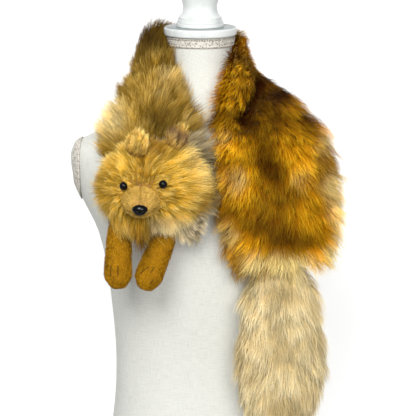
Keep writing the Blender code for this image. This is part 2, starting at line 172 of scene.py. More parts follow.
def smooth_mesh(node, levels, crease_angle):
    """A CAD node's shape with its faces joined and rounded off between its real corners."""
    bm = bmesh.new()
    bm.from_mesh(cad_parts[node].data)
    bmesh.ops.remove_doubles(bm, verts=bm.verts, dist=0.00002)
    bmesh.ops.join_triangles(bm, faces=bm.faces, angle_face_threshold=0.5, angle_shape_threshold=1.2)
    crease = bm.edges.layers.float.new("crease_edge")
    for edge in bm.edges:
        if edge.is_manifold and edge.calc_face_angle() > math.radians(crease_angle):
            edge[crease] = 1.0
    mesh = bpy.data.meshes.new(node)
    bm.to_mesh(mesh)
    bm.free()
    holder = bpy.data.objects.new(node, mesh)
    bpy.context.scene.collection.objects.link(holder)
    rounding = holder.modifiers.new("rounded", "SUBSURF")
    rounding.levels = levels
    rounding.render_levels = levels
    shaped = holder.evaluated_get(bpy.context.evaluated_depsgraph_get())
    made = bpy.data.meshes.new_from_object(shaped)
    bpy.data.objects.remove(holder)
    made.shade_smooth()
    made.set_sharp_from_angle(angle=math.radians(crease_angle))
    return made


def wrap_round_axis(mesh, radius):
    """Lays a map in metres round the Z axis, so that a weave's threads run round and up."""
    laid = mesh.uv_layers.new(name="cloth")
    for face in mesh.polygons:
        points = [mesh.vertices[i].co for i in face.vertices]
        angles = [math.atan2(point.x, point.y) for point in points]
        if max(angles) - min(angles) > math.pi:
            angles = [angle + 2 * math.pi if angle < 0 else angle for angle in angles]
        for loop, angle, point in zip(face.loop_indices, angles, points):
            laid.data[loop].uv = (angle * radius, point.z)


def make_linen():
    made, shader = new_finish("linen", 0.85, 0.25)
    place = wire(made.node_tree, "ShaderNodeUVMap", uv_map="cloth")
    turns = 2 * math.pi / (LINEN_THREAD * MM)
    weave = (place.part(0) * turns).step("SINE") * (place.part(1) * turns).step("SINE")
    slubs = noise(stretched(place, LINEN_WARP_SLUB), 1.0) + noise(stretched(place, LINEN_WEFT_SLUB), 1.0)
    thread = slubs * 0.9 + noise(on_piece(made), 9.0) * 0.35
    colour = blended(thread.eased(0.85, 1.45), LINEN_PALE, LINEN_SHADE)
    feed(shader, "Base Color", colour * weave.eased(-0.6, 0.6, 0.86, 1.0))
    add_bump(shader, weave * 0.35 + slubs, 0.00022)
    return made


torso_mesh = smooth_mesh("form_torso", 1, 50)
wrap_round_axis(torso_mesh, LINEN_GIRTH_RADIUS)
torso = add_piece("linen_torso", torso_mesh, make_linen(), "linen", "form_torso")

# The lace tapes. Cotton gimp braid sewn on flat, one round the top of the neck under the cap and one round
# each armhole: a woven ground, two threads that cross in waves on it and two more along each edge.
TAPE_GROUND = (0.62, 0.575, 0.50, 1)
TAPE_THREAD = (0.80, 0.765, 0.70, 1)
TAPE_HOLE_SHADE = (0.10, 0.08, 0.05, 1)
TAPE_WAVE = 2.6
TAPE_THREAD_RADIUS = 0.27
TAPE_TOP_HOLES = 138
TAPE_RISE = 2.15
TAPE_POINTS = 360
TAPE_LINES = (0.12, 0.5, 0.88)
TAPE_EDGE_SWING = 0.22
TAPE_MIDDLE_SWING = 0.62
NECK_TAPE = (0.676, 0.6885)
NECK_HOLES = (NECK_TAPE[1] - 0.003, NECK_TAPE[1] - 0.0018)
ARMHOLE_TAPE = (0.1775, 0.187)
ARMHOLE_HEIGHT = 0.490
Tape = namedtuple("Tape", "node side edges")
TAPES = [
    Tape("form_neck_trim", 0, NECK_TAPE),
    Tape("form_armhole_trim_left", -1, ARMHOLE_TAPE),
    Tape("form_armhole_trim_right", 1, ARMHOLE_TAPE),
]


def new_tree(name, kind, given, gives):
    """A tree with only its inputs, each of a kind of socket, and one output. Gives what comes in too."""
    tree = bpy.data.node_groups.new(name, kind)
    for label, socket in given.items():
        tree.interface.new_socket(label, in_out="INPUT", socket_type="NodeSocket" + socket)
    tree.interface.new_socket(gives, in_out="OUTPUT", socket_type="NodeSocket" + gives)
    return tree, {socket.name: Wire(socket) for socket in add_node(tree, "NodeGroupInput").outputs}


def end_tree(tree, geometry, finish):
    """Ends a Geometry Nodes tree with real geometry in its material."""
    real = wire(tree, "GeometryNodeRealizeInstances", {"Geometry": geometry})
    coloured = wire(tree, "GeometryNodeSetMaterial", {"Geometry": real, "Material": finish})
    add_node(tree, "NodeGroupOutput", {"Geometry": coloured})
    return tree


def kept(tree, label, kind="FLOAT"):
    """What a mesh keeps at each point under a name."""
    return wire(tree, "GeometryNodeInputNamedAttribute", {0: label}, data_type=kind)


def make_braid_tree():
    """A thread that swings in waves from one side of a tape to the other, as a round tube."""
    sizes = dict.fromkeys(("Wave", "Swing", "Phase", "Thread Radius"), "Float")
    sockets = {"Geometry": "Geometry", **sizes, "Material": "Material"}
    tree, given = new_tree("braid_thread", "GeometryNodeTree", sockets, "Geometry")
    turn = kept(tree, "far") * (2 * math.pi) / given["Wave"] + given["Phase"]
    aside = kept(tree, "across", "FLOAT_VECTOR") * (turn.step("SINE") * given["Swing"])
    over = kept(tree, "away", "FLOAT_VECTOR") * (turn.step("COSINE") * given["Thread Radius"])
    moved = wire(tree, "GeometryNodeSetPosition", {"Geometry": given["Geometry"], "Offset": aside + over})
    line = wire(tree, "GeometryNodeMeshToCurve", {"Mesh": moved})
    ring = wire(tree, "GeometryNodeCurvePrimitiveCircle", {"Resolution": 4, "Radius": given["Thread Radius"]})
    tube = wire(tree, "GeometryNodeCurveToMesh", {"Curve": line, "Profile Curve": ring, "Fill Caps": True})
    return end_tree(tree, tube, given["Material"])


def run_tree(name, mesh, tree, values):
    """Runs a Geometry Nodes tree on a mesh with the named inputs and gives the plain mesh that it makes."""
    holder = bpy.data.objects.new(name, mesh)
    bpy.context.scene.collection.objects.link(holder)
    nodes = holder.modifiers.new(name, "NODES")
    nodes.node_group = tree
    for item in tree.interface.items_tree:
        if item.in_out == "INPUT" and item.name in values:
            nodes[item.identifier] = values[item.name]
    shaped = holder.evaluated_get(bpy.context.evaluated_depsgraph_get())
    made = bpy.data.meshes.new_from_object(shaped)
    bpy.data.objects.remove(holder)
    bpy.data.meshes.remove(mesh)
    made.name = name
    return made


def store(mesh, label, kind, values):
    """Keeps a value for each point of a mesh, for the trees and the materials to read."""
    field = "value" if kind == "FLOAT" else "vector"
    for item, value in zip(mesh.attributes.new(label, kind, "POINT").data, values):
        setattr(item, field, value)


def thread_mesh(points, across, aways, wave, swing, phase, radius, finish, closed=True):
    """One thread along a line. At each point, across is the way it swings and aways the way out."""
    mesh = bpy.data.meshes.new("thread")
    count = len(points)
    mesh.from_pydata(points, [(i, (i + 1) % count) for i in range(count if closed else count - 1)], [])
    far = [0.0, *accumulate((after - point).length for point, after in zip(points, points[1:] + points[:1]))]
    store(mesh, "across", "FLOAT_VECTOR", across)
    store(mesh, "away", "FLOAT_VECTOR", aways)
    store(mesh, "far", "FLOAT", far)
    waves = round(far[-1] / (wave * MM)) if wave else 1
    values = {"Wave": far[-1] / waves, "Swing": swing, "Phase": phase, "Thread Radius": radius * MM}
    return run_tree("thread", mesh, braid_tree, {**values, "Material": finish})


def add_threads(name, threads, finish, slot):
    """Joins threads into one piece."""
    joined = bmesh.new()
    for thread in threads:
        joined.from_mesh(thread)
    mesh = bpy.data.meshes.new(name)
    joined.to_mesh(mesh)
    joined.free()
    mesh.shade_smooth()
    add_piece(name, mesh, finish, slot)


def make_tape_finish(name, ground, gap_shade_share):
    """Cotton: a colour that varies a little from thread to thread. The gaps between threads are darkened as
    painted shade, and a row of holes along the top of the neck's tape, under the cap, is painted dark as
    shade."""
    made, shader = new_finish(name, 0.9, 0.2)
    place = on_piece(made)
    cells = wire(made.node_tree, "ShaderNodeTexVoronoi", {"Vector": place, "Scale": 330.0})
    turn = place.part(1).step("ARCTAN2", place.part(0)) * TAPE_TOP_HOLES
    # painted shade: the holes along the top of the neck's tape, under the cap, and the gaps between the
    # threads are darkened
    top = place.part(2).eased(*NECK_HOLES) * turn.step("SINE").eased(-0.3, 0.3)
    gap = (cells.eased(0.2, 0.5, 1.0, 0.0) * gap_shade_share).step("MAXIMUM", top)
    colour = blended(noise(place, 900.0, 1.0).eased(0.4, 0.62), ground, TAPE_THREAD)
    feed(shader, "Base Color", blended(gap, colour, TAPE_HOLE_SHADE))
    add_bump(shader, cells, 0.0004)
    return made


tape_ground = make_tape_finish("tape_ground", TAPE_GROUND, 0.75)
tape_thread = make_tape_finish("tape_thread", TAPE_THREAD, 0.7)
braid_tree = make_braid_tree()
linen_surface = BVHTree.FromObject(torso, bpy.context.evaluated_depsgraph_get())


def tape_line(tape, share):
    """A line on the linen under a tape, at a share of its width: its points, and the way out at each."""
    reach = tape.edges[0] + (tape.edges[1] - tape.edges[0]) * share
    start = Vector((tape.side * reach, 0, ARMHOLE_HEIGHT)) if tape.side else Vector((0, 0, reach))
    points = []
    aways = []
    for k in range(TAPE_POINTS):
        turn = 2 * math.pi * k / TAPE_POINTS
        way = (0, math.cos(turn), math.sin(turn)) if tape.side else (math.cos(turn), math.sin(turn), 0)
        spot, away, _, _ = linen_surface.ray_cast(start, Vector(way))
        points.append(spot + away * TAPE_RISE * MM)
        aways.append(away)
    return points, aways


for tape in TAPES:
    lace_mesh = smooth_mesh(tape.node, 1, 50)
    add_piece(tape.node.replace("form_", "lace_"), lace_mesh, tape_ground, "lace_tape", tape.node)
    low, middle, high = (tape_line(tape, share) for share in TAPE_LINES)
    half_gap = [(above - below) * 0.5 for below, above in zip(low[0], high[0])]
    across = [gap.normalized() for gap in half_gap]
    half = half_gap[0].length
    threads = []
    for line, swing in ((middle, TAPE_MIDDLE_SWING), (high, TAPE_EDGE_SWING), (low, TAPE_EDGE_SWING)):
        for phase in (0.0, math.pi):
            threads.append(thread_mesh(line[0], across, line[1], TAPE_WAVE, swing * half, phase,
                                       TAPE_THREAD_RADIUS, tape_thread))
    add_threads(tape.node.replace("form_", "braid_"), threads, tape_thread, "lace_tape")

# The neck cap and the finial. Turned wood under white satin paint, the cap a flat disc on the neck and the
# finial a vase with a round head. Both have faint brush marks and random smudges of handling, and greyer tops
# that are painted shade on every face that points up.
PAINT_WHITE = (0.70, 0.725, 0.71, 1)
PAINT_TOP_SHADE_AND_SMUDGE = (0.15, 0.19, 0.195, 1)
BRUSH_MARK = (60, 60, 900)


def make_paint():
    made, shader = new_finish("white_paint", 0.32, 0.15)
    place = on_piece(made)
    smudge = noise(place, 28.0, 4.0)
    upward = wire(made.node_tree, "ShaderNodeNewGeometry", output="Normal").part(2)
    # painted shade: faces that point up are darkened towards the shade colour, and random smudges of handling
    # are added
    top_shade_and_smudge = upward.eased(0.75, 1.0, 0.0, 0.75) + smudge.eased(0.5, 0.75, 0.0, 0.25)
    feed(shader, "Base Color", blended(top_shade_and_smudge, PAINT_WHITE, PAINT_TOP_SHADE_AND_SMUDGE))
    feed(shader, "Roughness", smudge.eased(0.3, 0.7, 0.28, 0.42))
    add_bump(shader, noise(stretched(place, BRUSH_MARK), 1.0), 0.00006)
    return made


white_paint = make_paint()
for node in ("form_neck_cap", "form_finial"):
    add_piece(node.replace("form_", "painted_"), smooth_mesh(node, 2, 34), white_paint, "white_paint", node)

# The scarf's skins. Knitted backing cloth, sewn into a flat tube that carries the pile: the fox's chest, the
# stretch over its shoulder, the nape and the wide tail side, in one path from the chest to the hem.
FurRow = namedtuple("FurRow", "x y z facing lift half_width half_thick bend fold_at fold_deep",
                    defaults=(0.0, 0.0, 0.0))
CHEST_ROWS = [
    FurRow(-80, -146, 401, 264, -8, 32, 12),
    FurRow(-74, -147, 412, 264, -4, 54, 20),
    FurRow(-66, -147, 430, 264, 0, 70, 25),
    FurRow(-60, -145, 455, 264, 3, 80, 26),
    FurRow(-58, -140, 485, 264, 7, 84, 25),
    FurRow(-62, -131, 512, 264, 12, 82, 23),
    FurRow(-70, -117, 537, 262, 18, 73, 22),
]
HEAD_SIDE_ROWS = [
    FurRow(-72, -97, 562, 260, 26, 71, 23),
    FurRow(-71, -66, 599, 246, 30, 53, 25),
    FurRow(-77, -30, 632, 215, 20, 51, 26),
    FurRow(-75, 8, 647, 178, 8, 50, 27),
    FurRow(-62, 42, 650, 145, 8, 49, 25),
]
NAPE_ROWS = [
    FurRow(-36, 63, 648, 115, 10, 47, 23),
    FurRow(0, 73, 649, 90, 10, 46, 23),
    FurRow(35, 62, 648, 65, 12, 47, 22),
    FurRow(55, 40, 644, 38, 16, 50, 20),
]
TAIL_SIDE_ROWS = [
    FurRow(74, 8, 633, 5, 38, 59, 19, 0.0, 0, 4),
    FurRow(86, -28, 611, -30, 46, 67, 22, 0.0, 4, 16),
    FurRow(94, -60, 584, -54, 44, 78, 26, 0.0006, 30, 18),
    FurRow(104, -92, 553, -66, 32, 89, 27, 0.0010, 52, 4),
    FurRow(112, -117, 519, -70, 18, 92, 27, 0.0013, 60, 0),
    FurRow(116, -129, 482, -72, 8, 92, 28, 0.0013, 50, 0),
    FurRow(118, -133, 442, -75, 2, 90, 28, 0.0010, 50, 0),
    FurRow(118, -132, 410, -78, -2, 82, 27, 0.0008, 50, 0),
    FurRow(120, -130, 387, -80, -4, 72, 25, 0.0004, 50, 0),
    FurRow(121, -128, 371, -80, -4, 60, 22, 0.0004, 50, 0),
]
SKIN_SIDES = 48
SKIN_PARTS = 4
SKIN_OFF_FORM = 1.6
SKIN_LEAST_HALF = 1.5
FOLD_SPREAD = 14.0
FOLD_WHOLE = 12
FOLD_GROWTH = 1.5
PILE_NONE_NEAR = 3.0
PILE_FULL_AFTER = 9.0
PILE_LEAST = 0.04
HEM_PARTS = 3 * SKIN_PARTS
BACK_SHADE = (0.10, 0.055, 0.018, 1)
Coat = namedtuple("Coat", "sink pile fan under edge_stand ragged", defaults=(5.0, 0.9, 0.35))


def bell(value, middle, width):
    """1 at the middle, and 0 well away from it."""
    return math.exp(-((value - middle) / width) ** 2)


def nearness(point, place):
    """1 at the middle of a soft round place, seen from the front, and 0 far from it."""
    off = (point.x / MM - place.x) ** 2 + (point.z / MM - place.z) ** 2
    return math.exp(-off / place.radius ** 2)


def curve_rows(rows, parts):
    """Adds rows between the rows of a fur table, on a curve through all of them."""
    made = []
    for i in range(len(rows) - 1):
        before = rows[max(i - 1, 0)]
        after = rows[min(i + 2, len(rows) - 1)]
        for step in range(parts):
            t = step / parts
            values = []
            for p0, p1, p2, p3 in zip(before, rows[i], rows[i + 1], after):
                bend = (2 * p0 - 5 * p1 + 4 * p2 - p3) * t * t + (3 * p1 - p0 - 3 * p2 + p3) * t ** 3
                values.append(p1 + 0.5 * ((p2 - p0) * t + bend))
            made.append(FurRow(*values))
    return made + [rows[-1]]


def path_ways(rows):
    """Which way a path of rows runs at each of them."""
    centres = [Vector(row[:3]) for row in rows]
    last = len(rows) - 1
    return [(centres[min(i + 1, last)] - centres[max(i - 1, 0)]).normalized() for i in range(last + 1)]


def skin_ring(row, ahead, coat):
    """One ring of a skin: for each point its place in metres, the way across, how far to the side and how
    far out it lies, and how deep in the fold."""
    facing = math.radians(row.facing)
    lift = math.radians(row.lift)
    outward = Vector((math.cos(facing) * math.cos(lift), math.sin(facing) * math.cos(lift), math.sin(lift)))
    across = ahead.cross(outward).normalized()
    outward = across.cross(ahead).normalized()
    ring = []
    for k in range(SKIN_SIDES):
        angle = 2 * math.pi * k / SKIN_SIDES
        side = math.cos(angle) * max(row.half_width - coat.sink, SKIN_LEAST_HALF)
        out = math.sin(angle)
        valley = 0.0
        if out > 0:
            out *= max(row.half_thick - coat.sink, SKIN_LEAST_HALF)
            valley = bell(side, row.fold_at, FOLD_SPREAD) * min(1.0, row.fold_deep / FOLD_WHOLE)
            out -= row.fold_deep * FOLD_GROWTH * valley
        else:
            out *= max(row.half_thick - coat.under, SKIN_LEAST_HALF)
        out -= row.bend * side * side
        point = Vector(row[:3]) + across * side + outward * out
        ring.append((point * MM, across, math.cos(angle), math.sin(angle), valley))
    return ring


def dress_mesh(mesh, facts):
    """Keeps at each point of a skin its nap and its pile's length, how dense it is, and its shade. Above 0
    the shade darkens the fur, mostly as painted shade, and below 0 pales it. It also keeps how much more the
    pile stands up."""
    for i, label in enumerate(("nap", "pile", "dense", "shade", "stand")):
        store(mesh, label, "FLOAT" if i else "FLOAT_VECTOR", [fact[i] for fact in facts])
    mesh.shade_smooth()


def skin_mesh(name, rows, ways, coat, flow=None, spots=(), tufts=(), locks=(), closed=False):
    """A skin lofted from its rows, which stays off the linen. Its pile is sparse where it lies on the linen
    or faces it, and uneven in length, most of all at the edges."""
    rings = [skin_ring(row, way, coat) for row, way in zip(rows, ways)]
    ragged = random.Random(len(rings))
    bm = bmesh.new()
    grown = []
    facts = []
    for i, ring in enumerate(rings):
        near_end = max(0.0, 1 - (len(rings) - 1 - i) / HEM_PARTS)
        grown.append([])
        for point, across, side, out, valley in ring:
            spot, away, _, _ = linen_surface.find_nearest(point)
            if (point - spot).dot(away) < SKIN_OFF_FORM * MM:
                point = spot + away * SKIN_OFF_FORM * MM
            grown[-1].append(bm.verts.new(point))
            nap = ways[i] + across * side * coat.fan
            if flow:
                nap = flow(point)
            edge = side ** 4
            uneven = coat.ragged * (0.35 + 0.65 * edge)
            pile = coat.pile * (1 - 0.5 * valley) * (1 + uneven * ragged.uniform(-1, 1))
            for lock in locks:
                pile += lock.drop * near_end * bell(side * rows[i].half_width, lock.across, lock.spread)
            for tuft in tufts:
                pile += tuft.longer * nearness(point, tuft)
                nap = nap + Vector(tuft.way) * nearness(point, tuft)
            clear = min(1.0, max(0.0, ((point - spot).length / MM - PILE_NONE_NEAR) / PILE_FULL_AFTER))
            shown = 1.0 if out > -0.35 else max(0.12, 1.0 + (out + 0.35) * 1.9)
            # shade: the spots' painted shade and paler places, and painted shade in the fold's valley
            darker = sum(spot.amount * nearness(point, spot) for spot in spots)
            shade = min(1.0, max(-1.0, min(1.0, darker)) + 0.9 * valley)
            stand = 1.0 + coat.edge_stand * edge
            facts.append((nap, pile * MM, max(PILE_LEAST, clear * shown), shade, stand))
    for lower, upper in zip(grown, grown[1:]):
        for k in range(SKIN_SIDES):
            after = (k + 1) % SKIN_SIDES
            bm.faces.new((lower[k], lower[after], upper[after], upper[k]))
    if closed:
        bm.faces.new(list(reversed(grown[0])))
        bm.faces.new(grown[-1])
    bmesh.ops.recalc_face_normals(bm, faces=bm.faces)
    face = bm.faces[0]
    if (face.calc_center_median() - Vector(rows[0][:3]) * MM).dot(face.normal) < 0:
        bmesh.ops.reverse_faces(bm, faces=bm.faces)
    mesh = bpy.data.meshes.new(name)
    bm.to_mesh(mesh)
    bm.free()
    dress_mesh(mesh, facts)
    return mesh


def make_backing(name, shade):
    """The knitted ground that the pile stands in, with its small loops, dark between the hairs as painted
    shade deep in the pile.
    """
    made, shader = new_finish(name, 0.95, 0.1)
    place = on_piece(made)
    light = tuple(min(1.0, part * 2.2) for part in shade[:3]) + (1,)
    feed(shader, "Base Color", blended(noise(place, 60.0).eased(0.35, 0.7), shade, light))
    add_bump(shader, wire(made.node_tree, "ShaderNodeTexVoronoi", {"Vector": place, "Scale": 700.0}), 0.0006)
    return made


# The pile. Acrylic fibres of uneven length knitted into the backing, brushed from the chest to the tail,
# which gather in small locks inside larger ones. Each lock's hairs meet towards their tips.
FUR_SIZES = ("Density", "Width", "Rise", "Splay", "Swirl", "Swirl Size", "Lock Size", "Lock Pull", "Droop",
             "Curl", "Clear")
FUR_CLEAR = 0.6
FINE_LOCKS = 3.1
RUFFLE_SCALE = 90.0
TIP_FROM = 0.99
MIDDLE = (0.5, 0.5, 0.5)
FUR_COLOURS = ("Root", "Middle", "Tip", "Patch", "Pale")
FUR_SHARES = ("Patch Size", "Patch Share", "Contrast", "Tip Share")
# A fur's colours: root, middle and tip along each hair; patch for the random patches of darker undercoat and
# for the painted shade; pale for the paler places, partly painted light.
FurTone = namedtuple("FurTone", "root middle tip patch pale patch_size patch_share contrast tip_share")
Fur = namedtuple("Fur", "density width rise splay swirl swirl_size lock_size lock_pull droop curl seed")


def make_fur_tree():
    """Grows a flat hair of three faces, pointed at its tip, at each of many points on a skin."""
    sizes = dict.fromkeys(FUR_SIZES, "Float")
    sockets = {"Geometry": "Geometry", **sizes, "Seed": "Int", "Form": "Object", "Material": "Material"}
    tree, given = new_tree("fur", "GeometryNodeTree", sockets, "Geometry")

    def keep(geometry, label, value, kind="FLOAT", domain="POINT"):
        inputs = {"Geometry": geometry, "Name": label, "Value": value}
        return wire(tree, "GeometryNodeStoreNamedAttribute", inputs, data_type=kind, domain=domain)

    def chance(low, high, seed_step):
        inputs = {2: low, 3: high, "Seed": given["Seed"] + seed_step}
        return wire(tree, "FunctionNodeRandomValue", inputs, 1, data_type="FLOAT")

    def flat_to(vector, up):
        return vector - up * vector.step("DOT_PRODUCT", up)

    def locks(times):
        """Cells the size of a lock or finer: the way to the middle of each, and its own chance colour."""
        inputs = {"Vector": nudged, "Scale": times / given["Lock Size"]}
        cells = add_node(tree, "ShaderNodeTexVoronoi", inputs)
        return Wire(cells.outputs["Position"]) - spot, Wire(cells.outputs["Color"])

    # Where each hair stands, which way it is brushed and which lock it joins
    density = given["Density"] * kept(tree, "dense")
    inputs = {"Mesh": given["Geometry"], "Density": density, "Seed": given["Seed"]}
    spread = add_node(tree, "GeometryNodeDistributePointsOnFaces", inputs, distribute_method="RANDOM")
    points = Wire(spread.outputs["Points"])
    up = Wire(spread.outputs["Normal"])
    spot = wire(tree, "GeometryNodeInputPosition")
    swirl = (noise(spot, 1.0 / given["Swirl Size"], 1.0, 1) - MIDDLE) * given["Swirl"]
    inputs = {0: (-1, -1, -1), 1: (1, 1, 1), "Seed": given["Seed"]}
    stray = wire(tree, "FunctionNodeRandomValue", inputs, data_type="FLOAT_VECTOR")
    nap = kept(tree, "nap", "FLOAT_VECTOR") + swirl + stray * given["Splay"]
    nudged = spot + (noise(spot, RUFFLE_SCALE, 1.0, 1) - MIDDLE) * (given["Lock Size"] * 0.9)
    large, large_tone = locks(1.0)
    small, small_tone = locks(FINE_LOCKS)
    large_tone = large_tone.part(0)
    facts = {
        "root": spot,
        "up": up,
        "nap": flat_to(nap, up).step("NORMALIZE"),
        "pull": flat_to(large * 0.6 + small * 0.75, up) * given["Lock Pull"],
        "lock": large_tone * 0.45 + small_tone.part(1) * 0.55,
        "chance": chance(0.0, 1.0, 3),
        "reach": kept(tree, "pile") * chance(0.62, 1.08, 5) * large_tone.eased(0.0, 1.0, 0.84, 1.12),
        "roll": chance(-1.0, 1.0, 7),
    }
    for label, value in facts.items():
        points = keep(points, label, value, "FLOAT_VECTOR" if value.wide else "FLOAT")

    # One flat hair, then one for each point
    inputs = {"Size X": 1.0, "Size Y": 1.0, "Vertices X": 2, "Vertices Y": 4}
    hair = wire(tree, "GeometryNodeMeshGrid", inputs)
    along = spot.part(1) + 0.5
    hair = keep(hair, "along", along)
    hair = keep(hair, "side", spot.part(0) * 2.0)
    inputs = {0: spot.part(0) * along.step("LESS_THAN", TIP_FROM), 1: spot.part(1)}
    pointed = wire(tree, "ShaderNodeCombineXYZ", inputs)
    hair = wire(tree, "GeometryNodeSetPosition", {"Geometry": hair, "Position": pointed})
    hair = wire(tree, "GeometryNodeMergeByDistance", {"Geometry": hair, "Distance": 0.001})
    hairs = wire(tree, "GeometryNodeInstanceOnPoints", {"Points": points, "Instance": hair})
    hairs = keep(hairs, "lot", wire(tree, "GeometryNodeInputIndex"), "INT", "INSTANCE")
    hairs = wire(tree, "GeometryNodeRealizeInstances", {"Geometry": hairs})

    # Each hair's curve: it rises, leans along the nap, droops, waves and is drawn into its lock
    t = kept(tree, "along")
    length = kept(tree, "reach")
    up = kept(tree, "up", "FLOAT_VECTOR")
    nap = kept(tree, "nap", "FLOAT_VECTOR")
    lift = given["Rise"] * kept(tree, "stand") + (kept(tree, "chance") - 0.5) * 0.22
    height = (t * 1.7 - t * t * 0.9) * lift * length
    forward = (t * 0.62 + t * t * 0.34) * length
    fall = wire(tree, "ShaderNodeCombineXYZ", {2: t * t * length * given["Droop"]})
    sideways = nap.step("CROSS_PRODUCT", up).step("NORMALIZE")
    wave = (t * 5.0 + kept(tree, "lock") * 12.0).step("SINE") * (t * length) * given["Curl"]
    gathered = kept(tree, "pull", "FLOAT_VECTOR") * t.step("POWER", 1.4)
    place = kept(tree, "root", "FLOAT_VECTOR") + up * height + nap * forward + gathered - fall
    half = given["Width"] * (0.5 - t * 0.36) * kept(tree, "side") * t.step("LESS_THAN", TIP_FROM)
    flat = (sideways + up * kept(tree, "roll")).step("NORMALIZE")
    place = place + sideways * wave + flat * half
    hairs = wire(tree, "GeometryNodeSetPosition", {"Geometry": hairs, "Position": place})

    # What would run into the linen is laid on it
    form = wire(tree, "GeometryNodeObjectInfo", {"Object": given["Form"]}, "Geometry")
    near = wire(tree, "GeometryNodeProximity", {"Target": form}, "Position", target_element="FACES")
    inputs = {"Mesh": form, "Value": wire(tree, "GeometryNodeInputNormal")}
    facing = wire(tree, "GeometryNodeSampleNearestSurface", inputs, data_type="FLOAT_VECTOR")
    off = (spot - near).step("DOT_PRODUCT", facing)
    inputs = {"Geometry": hairs, "Selection": off.step("LESS_THAN", given["Clear"])}
    inputs["Offset"] = facing * (given["Clear"] - off)
    hairs = wire(tree, "GeometryNodeSetPosition", inputs)

    # A small rectangle of the map for each hair
    count = wire(tree, "GeometryNodeAttributeDomainSize", {"Geometry": points}, "Point Count",
                 component="POINTCLOUD")
    columns = count.step("SQRT").step("CEIL")
    lot = kept(tree, "lot", "INT")
    left = (lot.step("MODULO", columns) + (kept(tree, "side") * 0.42 + 0.5)) / columns
    low = ((lot / columns).step("FLOOR") + (t * 0.84 + 0.08)) / columns
    laid = wire(tree, "ShaderNodeCombineXYZ", {0: left, 1: low})
    return end_tree(tree, keep(hairs, "OFBake", laid, "FLOAT2", "CORNER"), given["Material"])


def make_fur_colour_group():
    """Colour of a hair: darker at its root and paler at its tip, partly the fibres' own colour and partly
    painted shade deep in the pile and painted light at the tips. Each lock and hair is a little different,
    with random patches where the darker undercoat shows. The skin's shade, above 0, darkens the hair towards
    the patch colour, mostly as painted shade, and below 0 pales it."""
    sockets = {**dict.fromkeys(FUR_COLOURS, "Color"), **dict.fromkeys(FUR_SHARES, "Float")}
    tree, given = new_tree("fur_colour", "ShaderNodeTree", sockets, "Color")

    def on_hair(label, output="Fac"):
        return wire(tree, "ShaderNodeAttribute", output=output, attribute_name=label)

    t = on_hair("along")
    lock = on_hair("lock").eased(0.2, 0.8)
    shade = on_hair("shade")
    # painted shade at the root and painted light at the tip, over the fibres' own darker roots and paler tips
    colour = blended(t.eased(0.02, 0.5), given["Root"], given["Middle"])
    tip = t.eased(0.45, 1.0) * lock.eased(0.25, 0.75, 0.25, 1.0)
    colour = blended(tip * given["Tip Share"], colour, given["Tip"])
    wide = noise(on_hair("root", "Vector"), 1.0 / given["Patch Size"], 3.0)
    patch = (wide + lock * 0.12).eased(0.54, 0.70)
    colour = blended(patch * given["Patch Share"], colour, given["Patch"])
    # the skin's shade: above 0 mostly painted shade, below 0 paler fur
    colour = blended(shade, colour, given["Patch"])
    colour = blended(shade * -1.0 * t.eased(0.1, 0.7), colour, given["Pale"])
    tone = lock - 0.5 + (on_hair("chance") - 0.5) * 0.5
    add_node(tree, "NodeGroupOutput", {"Color": colour * (tone * given["Contrast"] + 1.0)})
    return tree


fur_tree = make_fur_tree()
fur_colour_group = make_fur_colour_group()


def make_fur_finish(name, tone):
    made, shader = new_finish(name, 0.6, 0.05)
    inputs = {label: (*colour, 1) for label, colour in zip(FUR_COLOURS, tone)}
    inputs.update(zip(FUR_SHARES, tone[len(FUR_COLOURS):]))
    feed(shader, "Base Color", wire(made.node_tree, "ShaderNodeGroup", inputs, node_tree=fur_colour_group))
    return made


def grow_fur(node, skin, fur, tone, slot):
    """Grows the fur of a CAD node on a copy of its skin."""
    name = node + "_fur"
    finish = make_fur_finish(name, tone)
    values = {
        "Density": float(fur.density), "Width": fur.width * MM, "Rise": fur.rise, "Splay": fur.splay,
        "Swirl": fur.swirl, "Swirl Size": fur.swirl_size * MM, "Lock Size": fur.lock_size * MM,
        "Lock Pull": fur.lock_pull, "Droop": fur.droop, "Curl": fur.curl, "Clear": FUR_CLEAR * MM,
        "Seed": fur.seed, "Form": torso, "Material": finish,
    }
    mesh = run_tree(name, skin.data.copy(), fur_tree, values)
    for label in ("up", "nap", "pull", "reach", "roll", "side", "lot", "pile", "dense", "stand"):
        mesh.attributes.remove(mesh.attributes[label])
    mesh.shade_smooth()
    return add_piece(name, mesh, finish, slot, node)


# The scarf's four stretches. Each has its skin, its own coat and its own colours: cream at the chest, tan
# over the shoulder and the nape, and ginger down the tail side to a hem of loose locks.
# A spot sets the shade of the skin's fur round a place seen from the front, in mm. Above 0 it darkens the fur
# towards its patch colour. This is painted shade in the tail side's fold and partings, beside and under the
# head, and between the ears and the legs; elsewhere it is the fur's own darker tone. Below 0 it pales the
# fur, mostly to its own paler tufts and edges, and partly as painted light.
Spot = namedtuple("Spot", "x z radius amount")
Tuft = namedtuple("Tuft", "x z radius longer way")
Lock = namedtuple("Lock", "across drop spread")
HEAD_CENTRE = Vector((-0.0655, -0.184, 0.505))
CHEST_FALL = Vector((0, 0, -0.35))
TAN = FurTone((0.06, 0.03, 0.002), (0.27, 0.145, 0.01), (0.74, 0.51, 0.13), (0.085, 0.045, 0.004),
              (1.0, 0.80, 0.36), 0.05, 0.5, 0.85, 0.85)
GINGER = FurTone((0.10, 0.024, 0.0), (0.50, 0.19, 0.0), (1.0, 0.61, 0.02), (0.035, 0.006, 0.0),
                 (1.0, 0.84, 0.36), 0.04, 0.6, 0.9, 0.9)
RUFF = FurTone((0.07, 0.05, 0.02), (0.44, 0.34, 0.17), (0.88, 0.76, 0.50), (0.06, 0.04, 0.016),
               (0.88, 0.76, 0.52), 0.03, 0.6, 0.8, 0.8)
